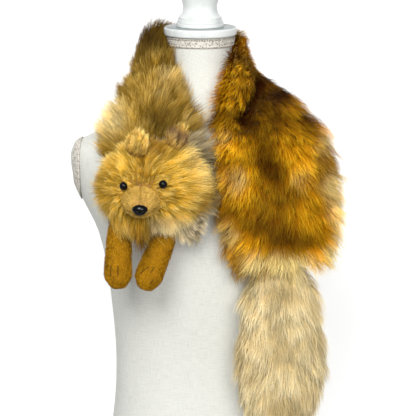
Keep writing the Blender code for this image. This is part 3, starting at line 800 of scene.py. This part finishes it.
RUFF_SPOTS = [
    Spot(-30, 552, 14, 0.7), Spot(-8, 564, 9, -0.5), Spot(15, 562, 12, 1.0), Spot(12, 546, 14, 1.0),
    Spot(10, 525, 18, 1.0), Spot(12, 490, 18, 1.0), Spot(0, 456, 14, -0.9), Spot(-18, 440, 14, -0.8),
    Spot(-86, 430, 22, 0.9), Spot(-44, 440, 12, -0.3),
]
RUFF_TUFTS = [
    Tuft(-5, 545, 16, 10, (0.9, 0, 0.5)), Tuft(8, 520, 12, 4, (0.7, 0, 0.1)),
    Tuft(-88, 425, 14, 14, (0, 0, -1)), Tuft(-4, 438, 20, -13, (0.3, 0, 0.3)),
]
TAN_SPOTS = [
    Spot(-58, 566, 18, 0.8), Spot(-84, 580, 11, 0.3), Spot(-34, 578, 12, 0.3), Spot(-72, 672, 30, 1.0),
    Spot(-96, 650, 16, 0.45), Spot(-100, 612, 12, 0.4), Spot(-52, 628, 12, -0.5), Spot(-60, 598, 9, -0.3),
    Spot(-118, 580, 15, -0.9), Spot(-128, 556, 13, -0.8), Spot(-108, 560, 10, -0.5),
    Spot(-26, 604, 10, -0.4), Spot(-80, 640, 9, -0.3), Spot(-30, 570, 10, -0.4),
]
TAN_TUFTS = [
    Tuft(-80, 690, 10, 8, (-0.5, 0, 0.4)), Tuft(-90, 668, 7, 8, (-0.8, 0, 0.2)),
    Tuft(-96, 642, 6, 9, (-0.9, 0, 0.1)), Tuft(-104, 612, 7, 9, (-0.9, 0, 0)),
    Tuft(-124, 588, 10, 10, (-0.9, 0, 0.1)), Tuft(-132, 556, 10, 8, (-0.7, 0, -0.4)),
    Tuft(-14, 566, 12, 8, (0.9, 0, 0.2)),
]
NAPE_SPOTS = [Spot(-62, 684, 34, 1.0)]
GINGER_SPOTS = [
    Spot(82, 636, 10, 0.6), Spot(83, 618, 10, 1.0), Spot(80, 604, 9, 1.0), Spot(70, 595, 9, 1.0),
    Spot(58, 587, 9, 0.9), Spot(104, 628, 12, 0.9), Spot(122, 612, 14, 0.8), Spot(108, 604, 14, 0.8),
    Spot(76, 580, 16, 0.7), Spot(112, 575, 14, 0.4), Spot(106, 520, 16, 0.5), Spot(150, 600, 14, 0.7),
    Spot(170, 578, 12, 0.6), Spot(185, 552, 12, 0.4), Spot(98, 650, 8, 0.6), Spot(88, 546, 18, 0.6),
    Spot(88, 529, 15, 0.6), Spot(142, 573, 16, 0.8), Spot(88, 490, 16, 0.8), Spot(118, 488, 15, 0.5),
    Spot(82, 455, 18, 0.6), Spot(112, 440, 20, 0.7), Spot(142, 422, 18, 0.6), Spot(152, 462, 14, 0.4),
    Spot(168, 430, 14, 0.4), Spot(180, 492, 14, -0.7), Spot(192, 460, 18, -0.9), Spot(190, 428, 16, -0.9),
    Spot(176, 400, 14, -0.9), Spot(140, 392, 14, -0.8), Spot(116, 396, 16, -0.9), Spot(84, 396, 14, -0.8),
    Spot(50, 437, 16, -0.5), Spot(62, 512, 14, -0.4), Spot(168, 545, 12, -0.5), Spot(130, 510, 12, -0.35),
    Spot(44, 560, 10, -0.4),
]
GINGER_TUFTS = [
    Tuft(86, 657, 14, 7, (0.6, 0, 0.3)), Tuft(142, 611, 16, -6, (0, 0, 0)),
    Tuft(184, 560, 18, -7, (0, 0, 0)), Tuft(198, 520, 20, -8, (0, 0, 0)),
]
HEM_LOCKS = [Lock(58, 8, 10), Lock(-2, 14, 12), Lock(-44, 12, 11)]


def away_from_head(point):
    """The chest's pile spreads outwards and down from behind the head."""
    return (point - HEAD_CENTRE).normalized() + CHEST_FALL


Stretch = namedtuple("Stretch", "node skin slot rows trim coat fur tone flow spots tufts locks",
                     defaults=(None, (), (), ()))
STRETCHES = [
    Stretch("chest_ruff", "chest_skin", "fur_cream", CHEST_ROWS, (9, 0), Coat(16, 22, 0.2, 5),
            Fur(1000000, 0.6, 0.5, 0.2, 0.9, 26, 9, 0.7, 0.1, 0.07, 11), RUFF,
            away_from_head, RUFF_SPOTS, RUFF_TUFTS),
    Stretch("scarf_head_side", "head_side_skin", "fur_tan", HEAD_SIDE_ROWS, (0, 0), Coat(15, 27, 0.9),
            Fur(850000, 0.7, 0.54, 0.3, 1.1, 26, 11, 0.85, 0.0, 0.07, 12), TAN, None, TAN_SPOTS, TAN_TUFTS),
    Stretch("scarf_nape", "nape_skin", "fur_tan", NAPE_ROWS, (0, 0), Coat(14, 27, 0.5),
            Fur(650000, 0.75, 0.5, 0.2, 0.6, 36, 12, 0.75, 0.1, 0.05, 13), TAN, None, NAPE_SPOTS),
    Stretch("scarf_tail_side", "tail_side_skin", "fur_ginger", TAIL_SIDE_ROWS, (0, 3), Coat(15, 26, 0.9),
            Fur(590000, 0.75, 0.54, 0.3, 1.5, 24, 10, 0.8, 0.1, 0.1, 14), GINGER,
            None, GINGER_SPOTS, GINGER_TUFTS, HEM_LOCKS),
]

body_rows = curve_rows([row for stretch in STRETCHES for row in stretch.rows], SKIN_PARTS)
body_ways = path_ways(body_rows)
start = 0
end = -SKIN_PARTS
for stretch in STRETCHES:
    end += len(stretch.rows) * SKIN_PARTS
    span = slice(start + stretch.trim[0], end + 1 - stretch.trim[1])
    rows = body_rows[span]
    mesh = skin_mesh(stretch.skin, rows, body_ways[span], stretch.coat, stretch.flow, stretch.spots,
                     stretch.tufts, stretch.locks)
    backing = make_backing(stretch.skin, BACK_SHADE)
    skin = add_piece(stretch.skin, mesh, backing, stretch.slot, stretch.node)
    fur = grow_fur(stretch.node, skin, stretch.fur, stretch.tone, stretch.slot)
    halves = [row.half_width - stretch.coat.sink for row in rows]
    start = end

# The tail. A long stuffed bag of cream fur, sewn in under the hem, its pile brushed down to a soft point.
# Like the head and the legs, it is a closed skin filled with loose fibre.
TAIL_ROWS = [
    FurRow(115, -128, 372, 275, 0, 42, 10),
    FurRow(117, -127, 350, 275, 0, 51, 24),
    FurRow(117, -126, 322, 275, 0, 58, 34),
    FurRow(118, -125, 288, 275, 0, 60, 39),
    FurRow(119, -124, 250, 275, 0, 65, 42),
    FurRow(119, -122, 215, 275, 0, 66, 42),
    FurRow(119, -120, 182, 275, 0, 62, 39),
    FurRow(118, -118, 155, 275, 0, 54, 33),
    FurRow(118, -117, 132, 275, 0, 39, 24),
]
TAIL_PARTS = 3
TAIL_COAT = Coat(16, 36, 0.2, 9, 0.25, 0.2)
CREAM = FurTone((0.42, 0.31, 0.14), (0.74, 0.59, 0.30), (0.97, 0.89, 0.62), (0.46, 0.33, 0.13),
                (1.0, 0.97, 0.84), 0.04, 0.6, 0.6, 0.9)
EndRing = namedtuple("EndRing", "scale reach")
END_RINGS = [EndRing(0.8, 0.28), EndRing(0.45, 0.42)]
Plush = namedtuple("Plush", "slot fill ground tone fur")


def rounded_ends(rows, ways):
    """Adds the smaller rings that close a stuffed piece at both ends."""
    made = list(rows)
    made_ways = list(ways)
    for end in END_RINGS:
        for row, way, sign in ((rows[0], ways[0], -1), (rows[-1], ways[-1], 1)):
            moved = Vector(row[:3]) + way * end.reach * row.half_thick * sign
            ring = row._replace(x=moved.x, y=moved.y, z=moved.z, half_width=row.half_width * end.scale,
                                half_thick=row.half_thick * end.scale)
            made.insert(0 if sign < 0 else len(made), ring)
            made_ways.insert(0 if sign < 0 else len(made_ways), way)
    return made, made_ways


def add_stuffed(node, mesh, plush):
    """A stuffed piece: its closed skin, and the fur that grows on it."""
    skin = add_piece(node + "_skin", mesh, make_backing(node + "_skin", plush.ground), plush.slot, node)
    grow_fur(node, skin, plush.fur, plush.tone, plush.slot)
    return skin


def add_limb(node, table, parts, coat, plush):
    """A stuffed limb, lofted from a table of rows."""
    rows = curve_rows(table, parts)
    rows, ways = rounded_ends(rows, path_ways(rows))
    return add_stuffed(node, skin_mesh(node + "_skin", rows, ways, coat, closed=True), plush)


add_limb("tail", TAIL_ROWS, TAIL_PARTS, TAIL_COAT, Plush(
    "fur_cream", 0.5, BACK_SHADE, CREAM, Fur(600000, 0.75, 0.48, 0.2, 1.5, 44, 12, 0.85, 0.05, 0.07, 21)))

# The head. A stuffed ball of gold fur, its pile short round the eyes and the muzzle and long on the cheeks,
# brushed away from the nose, with a furrow up the brow between the ears.
HEAD_HALF = Vector((0.076, 0.047, 0.066))
HEAD_SEGMENTS = (56, 36)
MUZZLE_CENTRE = Vector((-0.080, -0.224, 0.4875))
FACE_MIDDLE = Vector((-0.080, -0.245, 0.498))
FURROW_X = -0.0775
FURROW_WIDTH = 0.006
BETWEEN_EARS_X = -0.062
BETWEEN_LEGS_X = -0.084
EAR_ROOTS = ((-0.087, 0.540), (-0.034, 0.548))
HEAD_SHORT_PILE = 9.0
HEAD_LONG_PILE = 29.0
RIM_LOCKS = 41
JOWL_FALL = Vector((0, 0, -1.6))
CHIN_FALL = Vector((0, 0, -0.9))
# A place's longer value lengthens its pile in mm, and its darker value sets its shade. This is painted shade
# in the brow's furrow and low on the right under the head, and painted shade over the fur's own darker grey
# between the ears and between the legs. Below 0 the fur is paler: the cream of the throat, and a little round
# the rim.
HeadPlace = namedtuple("HeadPlace", "longer darker")
HEAD_PLACES = {
    "jowl": HeadPlace(14.0, 0.0),
    "chin": HeadPlace(4.0, 0.0),
    "throat": HeadPlace(3.0, -0.6),
    "between_ears": HeadPlace(-12.0, 0.9),
    "between_legs": HeadPlace(30.0, 1.2),
    "ear_roots": HeadPlace(8.0, 0.0),
    "brow": HeadPlace(0.0, 0.75),
    "low_right": HeadPlace(0.0, 0.7),
    "rim": HeadPlace(0.0, -0.15),
}
GOLD = FurTone((0.18, 0.075, 0.002), (0.64, 0.37, 0.03), (1.0, 0.80, 0.26), (0.22, 0.095, 0.004),
               (1.0, 0.90, 0.58), 0.024, 0.35, 0.9, 0.95)


def head_shape(point):
    """Full cheeks, a brow a little narrower than them and a flatter back."""
    cheek = 1 + 0.07 * bell(point.z, -0.2, 0.45) - 0.08 * max(point.z, 0)
    depth = 0.86 if point.y > 0 else 1.0
    return Vector((point.x * cheek, point.y * depth, point.z))


def ball_mesh(name, centre, half, dress, shape=None, lean=0, tilt=0, segments=HEAD_SEGMENTS):
    """A stuffed round piece's skin. dress gives, for a point and its normal, how deep the skin lies under the
    pile, then its nap, its pile's length and how dense it is. It also gives its shade, which darkens the fur
    mostly as painted shade, and how much more it stands. Its faces are put in a set order, since the pile is
    drawn face by face and bmesh orders them anew each run."""
    ball = bmesh.new()
    bmesh.ops.create_uvsphere(ball, u_segments=segments[0], v_segments=segments[1], radius=1.0)
    ball.verts.index_update()
    faces = sorted([vert.index for vert in face.verts] for face in ball.faces)
    spin = Matrix.Rotation(math.radians(lean), 3, "Y") @ Matrix.Rotation(math.radians(-tilt), 3, "X")
    points = []
    for vert in ball.verts:
        point = shape(vert.co) if shape else vert.co
        points.append(centre + spin @ Vector((point.x * half.x, point.y * half.y, point.z * half.z)))
    ball.free()
    mesh = bpy.data.meshes.new(name)
    mesh.from_pydata(points, [], faces)
    facts = []
    places = []
    for vertex in mesh.vertices:
        depth, nap, pile, dense, shade, stand = dress(vertex.co, vertex.normal)
        places.append(vertex.co - vertex.normal * depth * MM)
        facts.append((nap, pile * MM, dense, shade, stand))
    for vertex, place in zip(mesh.vertices, places):
        vertex.co = place
    mesh.update()
    dress_mesh(mesh, facts)
    return mesh


def soft_step(value, low, high):
    t = max(0.0, min(1.0, (value - low) / (high - low)))
    return t * t * (3 - 2 * t)


def dress_head(point, normal):
    """Each place on the head has its share of 0 to 1 here, and the table says what it does to the pile's
    length and to its painted shade.
    """
    aside = point.x - FACE_MIDDLE.x
    above = point.z - FACE_MIDDLE.z
    flat = math.hypot(aside, above * 1.05)
    long = soft_step(flat, 0.026, 0.058)
    rim = soft_step(flat, 0.058, 0.078)
    brow = bell(point.x, FURROW_X, FURROW_WIDTH) * soft_step(point.z, 0.507, 0.522)
    jowl = soft_step(-point.x, 0.088, 0.112) * soft_step(-point.z, -0.50, -0.465)
    chin = soft_step(-point.z, -0.475, -0.450)
    left = 1.0 - soft_step(point.x, -0.108, -0.088)
    low_right = soft_step(point.x, -0.03, 0.0) * soft_step(-point.z, -0.508, -0.485)
    between_legs = chin * bell(point.x, BETWEEN_LEGS_X, 0.009)
    throat = chin * (1 - left) * (1 - between_legs)
    shares = {
        "jowl": jowl,
        "chin": chin * (1 - jowl) * left,
        "throat": throat,
        "between_ears": soft_step(point.z, 0.535, 0.552) * bell(point.x, BETWEEN_EARS_X, 0.017),
        "between_legs": between_legs,
        "ear_roots": sum(bell(point.x, x, 0.020) * bell(point.z, z, 0.012) for x, z in EAR_ROOTS),
        "brow": brow,
        "low_right": low_right * (1 - throat),
        "rim": rim * (1 - low_right),
    }
    nap = (point - FACE_MIDDLE).normalized()
    nap += Vector((math.copysign(0.5, point.x - FURROW_X), 0, 0)) * soft_step(point.z, 0.50, 0.54) * 0.6
    nap += JOWL_FALL * jowl + CHIN_FALL * chin
    pile = HEAD_SHORT_PILE + (HEAD_LONG_PILE - HEAD_SHORT_PILE) * long
    pile += sum(HEAD_PLACES[place].longer * share for place, share in shares.items())
    pile *= 1.0 + 0.5 * rim * (math.sin(RIM_LOCKS * math.atan2(above, aside)) ** 2 - 0.4)
    shade = sum(HEAD_PLACES[place].darker * share for place, share in shares.items())
    behind = 1.0 - soft_step(point.y, HEAD_CENTRE.y + 0.002, HEAD_CENTRE.y + 0.03)
    front = 1.0 - 0.9 * soft_step(0.020 - (point - MUZZLE_CENTRE).length, -0.012, 0.0)
    depth = 4.0 + 8.0 * long + 7.0 * brow
    return depth, nap, pile, max(0.05, behind * front), shade, 1.0 + 0.8 * chin * left + 1.2 * between_legs


add_stuffed("head", ball_mesh("head_skin", HEAD_CENTRE, HEAD_HALF, dress_head, head_shape), Plush(
    "fur_gold", 0.8, (0.30, 0.16, 0.05, 1), GOLD,
    Fur(1500000, 0.5, 0.42, 0.24, 0.9, 22, 9, 0.85, 0.12, 0.06, 31)))

# The ears. Two small leaves of the head's fur sewn into its top, brushed up to their tips. The right one is
# turned away, and its front is brown with painted shade. Both have a little painted shade at their roots and
# grow paler to their tips, and the head's pile stands round the roots of both.
# An ear's dark value is the painted shade on its front.
Ear = namedtuple("Ear", "side x y z lean tilt brushed dark seed")
EARS = [
    Ear("left", -0.087, -0.203, 0.560, -24, 30, 20, 0.0, 45),
    Ear("right", -0.032, -0.192, 0.569, 28, 22, 34, 0.9, 46),
]
EAR_HALF = Vector((0.018, 0.0085, 0.021))
EAR_SEGMENTS = (28, 18)
EAR_PILE = 15.0
EAR_FAN = 4.0
EAR_TONE = GOLD._replace(middle=(0.66, 0.40, 0.06), patch=(0.20, 0.11, 0.05))
EAR_GROUND = (0.32, 0.17, 0.05, 1)


def ear_shape(point):
    """A leaf that narrows to its tip and cups towards the front."""
    narrow = 1 - 0.42 * max(point.z, 0) ** 1.5
    cup = 0.55 * point.x * point.x
    return Vector((point.x * narrow, point.y - cup, point.z))


def ear_dress(ear, middle):
    """How an ear's pile lies: it runs to the tip and fans out a little."""
    brushed = math.radians(ear.brushed)
    tip_way = Vector((math.sin(brushed), 0.0, math.cos(brushed)))

    def dress(point, normal):
        off = point - middle
        along = off.dot(tip_way) / EAR_HALF.z
        nap = tip_way + (off - tip_way * off.dot(tip_way)) * EAR_FAN
        # painted shade: dark on the right ear's front and a little at both roots, paler towards the tips
        shade = ear.dark * bell(along, 0.1, 0.5) + 0.2 - 0.35 * soft_step(along, -0.2, 1.0)
        base = 1.0 - soft_step(along, -0.9, -0.1)
        return 3.0 + 3.5 * abs(normal.x) + 3.0 * base, nap, EAR_PILE, 1.0, shade, 0.3

    return dress


for ear in EARS:
    node = "ear_" + ear.side
    middle = Vector((ear.x, ear.y, ear.z))
    mesh = ball_mesh(node + "_skin", middle, EAR_HALF, ear_dress(ear, middle), ear_shape, ear.lean, ear.tilt,
                     EAR_SEGMENTS)
    add_stuffed(node, mesh, Plush("fur_gold", 0.2, EAR_GROUND, EAR_TONE, Fur(
        1100000, 0.7, 0.36, 0.16, 0.4, 12, 8, 0.6, 0.0, 0.06, ear.seed)))

# The muzzle. A small ball of sheared plush, sewn on under the eyes and trimmed short, with a seam down from
# the brow and a mouth drawn in under the nose.
MUZZLE_HALF = Vector((0.0265, 0.027, 0.0225))
NOSE_CENTRE = Vector((-0.0805, -0.2485, 0.4815))
MOUTH_HEIGHT = 0.4705
MOUTH_RISE = 0.35
SHEARED = FurTone((0.34, 0.19, 0.025), (0.60, 0.37, 0.07), (0.88, 0.62, 0.22), (0.22, 0.11, 0.01),
                  (1.0, 0.85, 0.45), 0.02, 0.25, 0.4, 0.65)


def dress_muzzle(point, normal):
    nap = (point - NOSE_CENTRE).normalized()
    seam = bell(point.x, NOSE_CENTRE.x, 0.0014) * soft_step(point.z, 0.488, 0.493)
    mouth = bell(point.z, MOUTH_HEIGHT + MOUTH_RISE * abs(point.x - NOSE_CENTRE.x), 0.0013)
    line = max(seam, mouth if normal.y < -0.2 else 0.0)
    back = soft_step(point.y, -0.243, -0.218)
    return 3.0 + 1.8 * line, nap, 5.0 + 7.0 * back, 1.0 if point.y < -0.205 else 0.2, 0.8 * line, 1.0


add_stuffed("muzzle", ball_mesh("muzzle_skin", MUZZLE_CENTRE, MUZZLE_HALF, dress_muzzle), Plush(
    "short_pile", 0.9, (0.45, 0.27, 0.10, 1), SHEARED,
    Fur(1500000, 0.6, 0.45, 0.25, 0.3, 10, 4.0, 0.5, 0.0, 0.04, 51)))

# The eyes and the nose. Glossy black plastic buttons on shanks pushed through the plush: round domes for the
# eyes and a wide nose that narrows below, with two nostril dents.
GLOSS_BLACK = (0.001, 0.001, 0.001, 1)
GLOSS_WORN = (0.006, 0.005, 0.004, 1)
NOSE_NARROWING = 0.22
NOSE_NARROWS_OVER = 0.008
NOSTRIL_APART = 0.0048
NOSTRIL_LOW = 0.0028
NOSTRIL_RADIUS = 0.0022
NOSTRIL_DEPTH = 0.0022


def make_gloss():
    made, shader = new_finish("black_gloss", 0.08, 0.2)
    smear = noise(on_piece(made), 220.0)
    feed(shader, "Base Color", blended(smear, GLOSS_BLACK, GLOSS_WORN))
    feed(shader, "Roughness", smear.eased(0.35, 0.7, 0.05, 0.16))
    add_bump(shader, smear, 0.00004)
    return made


black_gloss = make_gloss()
button_meshes = {node: smooth_mesh(node, 2, 60) for node in ("eye_left", "eye_right", "nose")}
for vertex in button_meshes["nose"].vertices:
    off = vertex.co - NOSE_CENTRE
    narrow = 1 - NOSE_NARROWING * soft_step(-off.z, 0.0, NOSE_NARROWS_OVER)
    for side in (-NOSTRIL_APART, NOSTRIL_APART):
        dent = math.hypot(off.x - side, off.z + NOSTRIL_LOW) / NOSTRIL_RADIUS
        if off.y < 0:
            off.y += NOSTRIL_DEPTH * math.exp(-dent * dent)
    vertex.co = NOSE_CENTRE + Vector((off.x * narrow, off.y, off.z))
for node, mesh in button_meshes.items():
    add_piece("button_" + node, mesh, black_gloss, "black_gloss", node)

# The forelegs. Two small stuffed legs of sheared ochre plush sewn in under the chin, with the toes drawn in
# by dark stitches.
FORELEG_ROWS = {
    "left": [
        FurRow(-112, -152, 446, 268, 0, 15, 13),
        FurRow(-114, -158, 425, 268, 0, 18, 17),
        FurRow(-115, -162, 402, 268, 0, 19, 18),
        FurRow(-116, -166, 382, 268, 0, 20, 20),
        FurRow(-116, -170, 367, 268, 0, 20, 23),
        FurRow(-116, -171, 359, 268, 0, 16, 19),
    ],
    "right": [
        FurRow(-44, -152, 446, 268, 0, 15, 13),
        FurRow(-50, -158, 424, 268, 0, 18, 17),
        FurRow(-58, -162, 401, 268, 0, 19, 18),
        FurRow(-67, -166, 380, 268, 0, 20, 20),
        FurRow(-73, -170, 365, 268, 0, 20, 23),
        FurRow(-76, -171, 357, 268, 0, 16, 19),
    ],
}
LEG_PARTS = 4
LEG_COAT = Coat(2.2, 4.2, 0.0, 2.2, 0.7, 0.0)
LEG_GROUND = (0.22, 0.10, 0.006, 1)
OCHRE = FurTone((0.25, 0.105, 0.0), (0.42, 0.20, 0.003), (0.70, 0.39, 0.035), (0.18, 0.075, 0.0),
                (0.95, 0.66, 0.20), 0.02, 0.4, 0.22, 0.55)
LEG_PLUSH = Plush("short_pile", 0.9, LEG_GROUND, OCHRE,
                  Fur(700000, 0.95, 0.4, 0.16, 0.4, 14, 3.5, 0.25, 0.0, 0.03, 61))
ToeStitch = namedtuple("ToeStitch", "x z to_x to_z")
TOE_STITCHES = {
    "left": [ToeStitch(-124, 386, -125, 370), ToeStitch(-115, 386, -115, 370)],
    "right": [ToeStitch(-72, 384, -84, 374), ToeStitch(-64, 384, -70, 375), ToeStitch(-66, 368, -71, 361)],
}
TOE_THREAD_DARK = (0.05, 0.02, 0.004, 1)
TOE_THREAD_PALE = (0.11, 0.05, 0.01, 1)
TOE_THREAD_RADIUS = 0.55
TOE_THREAD_STAND = 1.9
TOE_THREAD_POINTS = 9
FAR_IN_FRONT = -0.5


def make_toe_thread():
    made, shader = new_finish("toe_thread", 0.8, 0.1)
    feed(shader, "Base Color", blended(noise(on_piece(made), 400.0), TOE_THREAD_DARK, TOE_THREAD_PALE))
    return made


def stitch_mesh(stitch, surface):
    """A dark thread that draws a paw's toes in, laid on its pile from the front."""
    points = []
    aways = []
    for step in range(TOE_THREAD_POINTS):
        t = step / (TOE_THREAD_POINTS - 1)
        x = (stitch.x + (stitch.to_x - stitch.x) * t) * MM
        z = (stitch.z + (stitch.to_z - stitch.z) * t) * MM
        spot, away, _, _ = surface.ray_cast(Vector((x, FAR_IN_FRONT, z)), Vector((0, 1, 0)))
        stand = TOE_THREAD_STAND * math.sin(math.pi * (0.1 + 0.8 * t))
        points.append(spot + away * stand * MM)
        aways.append(away)
    return thread_mesh(points, aways, aways, 0, 0.0, 0.0, TOE_THREAD_RADIUS, toe_thread, closed=False)


toe_thread = make_toe_thread()
for label, table in FORELEG_ROWS.items():
    skin = add_limb("foreleg_" + label, table, LEG_PARTS, LEG_COAT, LEG_PLUSH)
    paw = BVHTree.FromObject(skin, bpy.context.evaluated_depsgraph_get())
    stitches = [stitch_mesh(stitch, paw) for stitch in TOE_STITCHES[label]]
    add_threads("toe_stitches_" + label, stitches, toe_thread, "short_pile")

# The studio: a pale floor that sweeps up behind the form and is clear from behind, a large soft light from
# the front left, which throws the scarf's soft shadow to the right, and a weaker one from the right.
CAMERA_AIM = Vector((0.0117, 0.0, 0.427))
CAMERA_FAR = 2.4
CAMERA_DOWN = math.radians(13)
PHOTO_PIXELS = 416
PIXEL_SIZE = 0.001515
SWEEP_NEAR = -0.5
SWEEP_START = 0.16
SWEEP_RADIUS = 0.25
SWEEP_PARTS = 16
SWEEP_TOP = 2.6
SWEEP_HALF_WIDTH = 1.1
PAPER_FLOOR = (0.5, 0.5, 0.5, 1)
PAPER_BACK = ((0.80, 0.80, 0.80, 1), (0.83, 0.83, 0.83, 1))
PAPER_GLOW = 0.34
WORLD_LIGHT = 0.28
Lamp = namedtuple("Lamp", "name place aim size power")
LAMPS = [
    Lamp("key", (-0.36, -1.65, 1.6), (0.0, 0.0, 0.6), 0.8, 33),
    Lamp("fill", (0.6, -1.9, 1.1), (0.05, 0.0, 0.5), 1.0, 20),
]


def make_paper():
    """Pale paper that glows a little behind the form, and is clear from its back."""
    made, shader = new_finish("paper", 0.9, 0.2)
    place = on_piece(made)
    behind_form = place.part(1).eased(0.1, 0.2)
    back = blended(noise(place, 3.0), *PAPER_BACK)
    feed(shader, "Base Color", blended(behind_form, PAPER_FLOOR, back))
    feed(shader, "Emission Color", blended(behind_form, (0, 0, 0, 1), (1, 1, 1, 1)))
    feed(shader, "Emission Strength", PAPER_GLOW)
    feed(shader, "Alpha", 1.0 - wire(made.node_tree, "ShaderNodeNewGeometry", output="Backfacing"))
    return made


def add_to_scene(name, data):
    made = bpy.data.objects.new(name, data)
    bpy.context.scene.collection.objects.link(made)
    return made


camera = add_to_scene("camera", bpy.data.cameras.new("camera"))
camera.location = CAMERA_AIM + Vector((0, -math.cos(CAMERA_DOWN), math.sin(CAMERA_DOWN))) * CAMERA_FAR
camera.rotation_euler = (math.pi / 2 - CAMERA_DOWN, 0, 0)
camera.data.lens = camera.data.sensor_width * CAMERA_FAR / (PHOTO_PIXELS * PIXEL_SIZE)
camera.data.clip_end = 50
bpy.context.scene.camera = camera

profile = [(SWEEP_NEAR, 0.0)]
for k in range(SWEEP_PARTS + 1):
    angle = math.pi / 2 * k / SWEEP_PARTS
    profile.append((SWEEP_START + SWEEP_RADIUS * math.sin(angle), SWEEP_RADIUS * (1 - math.cos(angle))))
profile.append((SWEEP_START + SWEEP_RADIUS, SWEEP_TOP))
points = [(side * SWEEP_HALF_WIDTH, y, z) for y, z in profile for side in (-1, 1)]
faces = [(2 * i, 2 * i + 1, 2 * i + 3, 2 * i + 2) for i in range(len(profile) - 1)]
sweep_mesh = bpy.data.meshes.new("sweep")
sweep_mesh.from_pydata(points, [], faces)
sweep_mesh.shade_smooth()
sweep_mesh.materials.append(make_paper())
add_to_scene("sweep", sweep_mesh)

for lamp in LAMPS:
    light = bpy.data.lights.new(lamp.name, "AREA")
    light.energy = lamp.power
    light.size = lamp.size
    holder = add_to_scene(lamp.name, light)
    holder.location = lamp.place
    holder.rotation_euler = (Vector(lamp.aim) - Vector(lamp.place)).to_track_quat("-Z", "Y").to_euler()
world = bpy.data.worlds.new("soft_white")
world.use_nodes = True
feed(world.node_tree.nodes["Background"], "Color", (1, 1, 1, 1))
feed(world.node_tree.nodes["Background"], "Strength", WORLD_LIGHT)
bpy.context.scene.world = world
bpy.context.scene.view_settings.view_transform = "Standard"
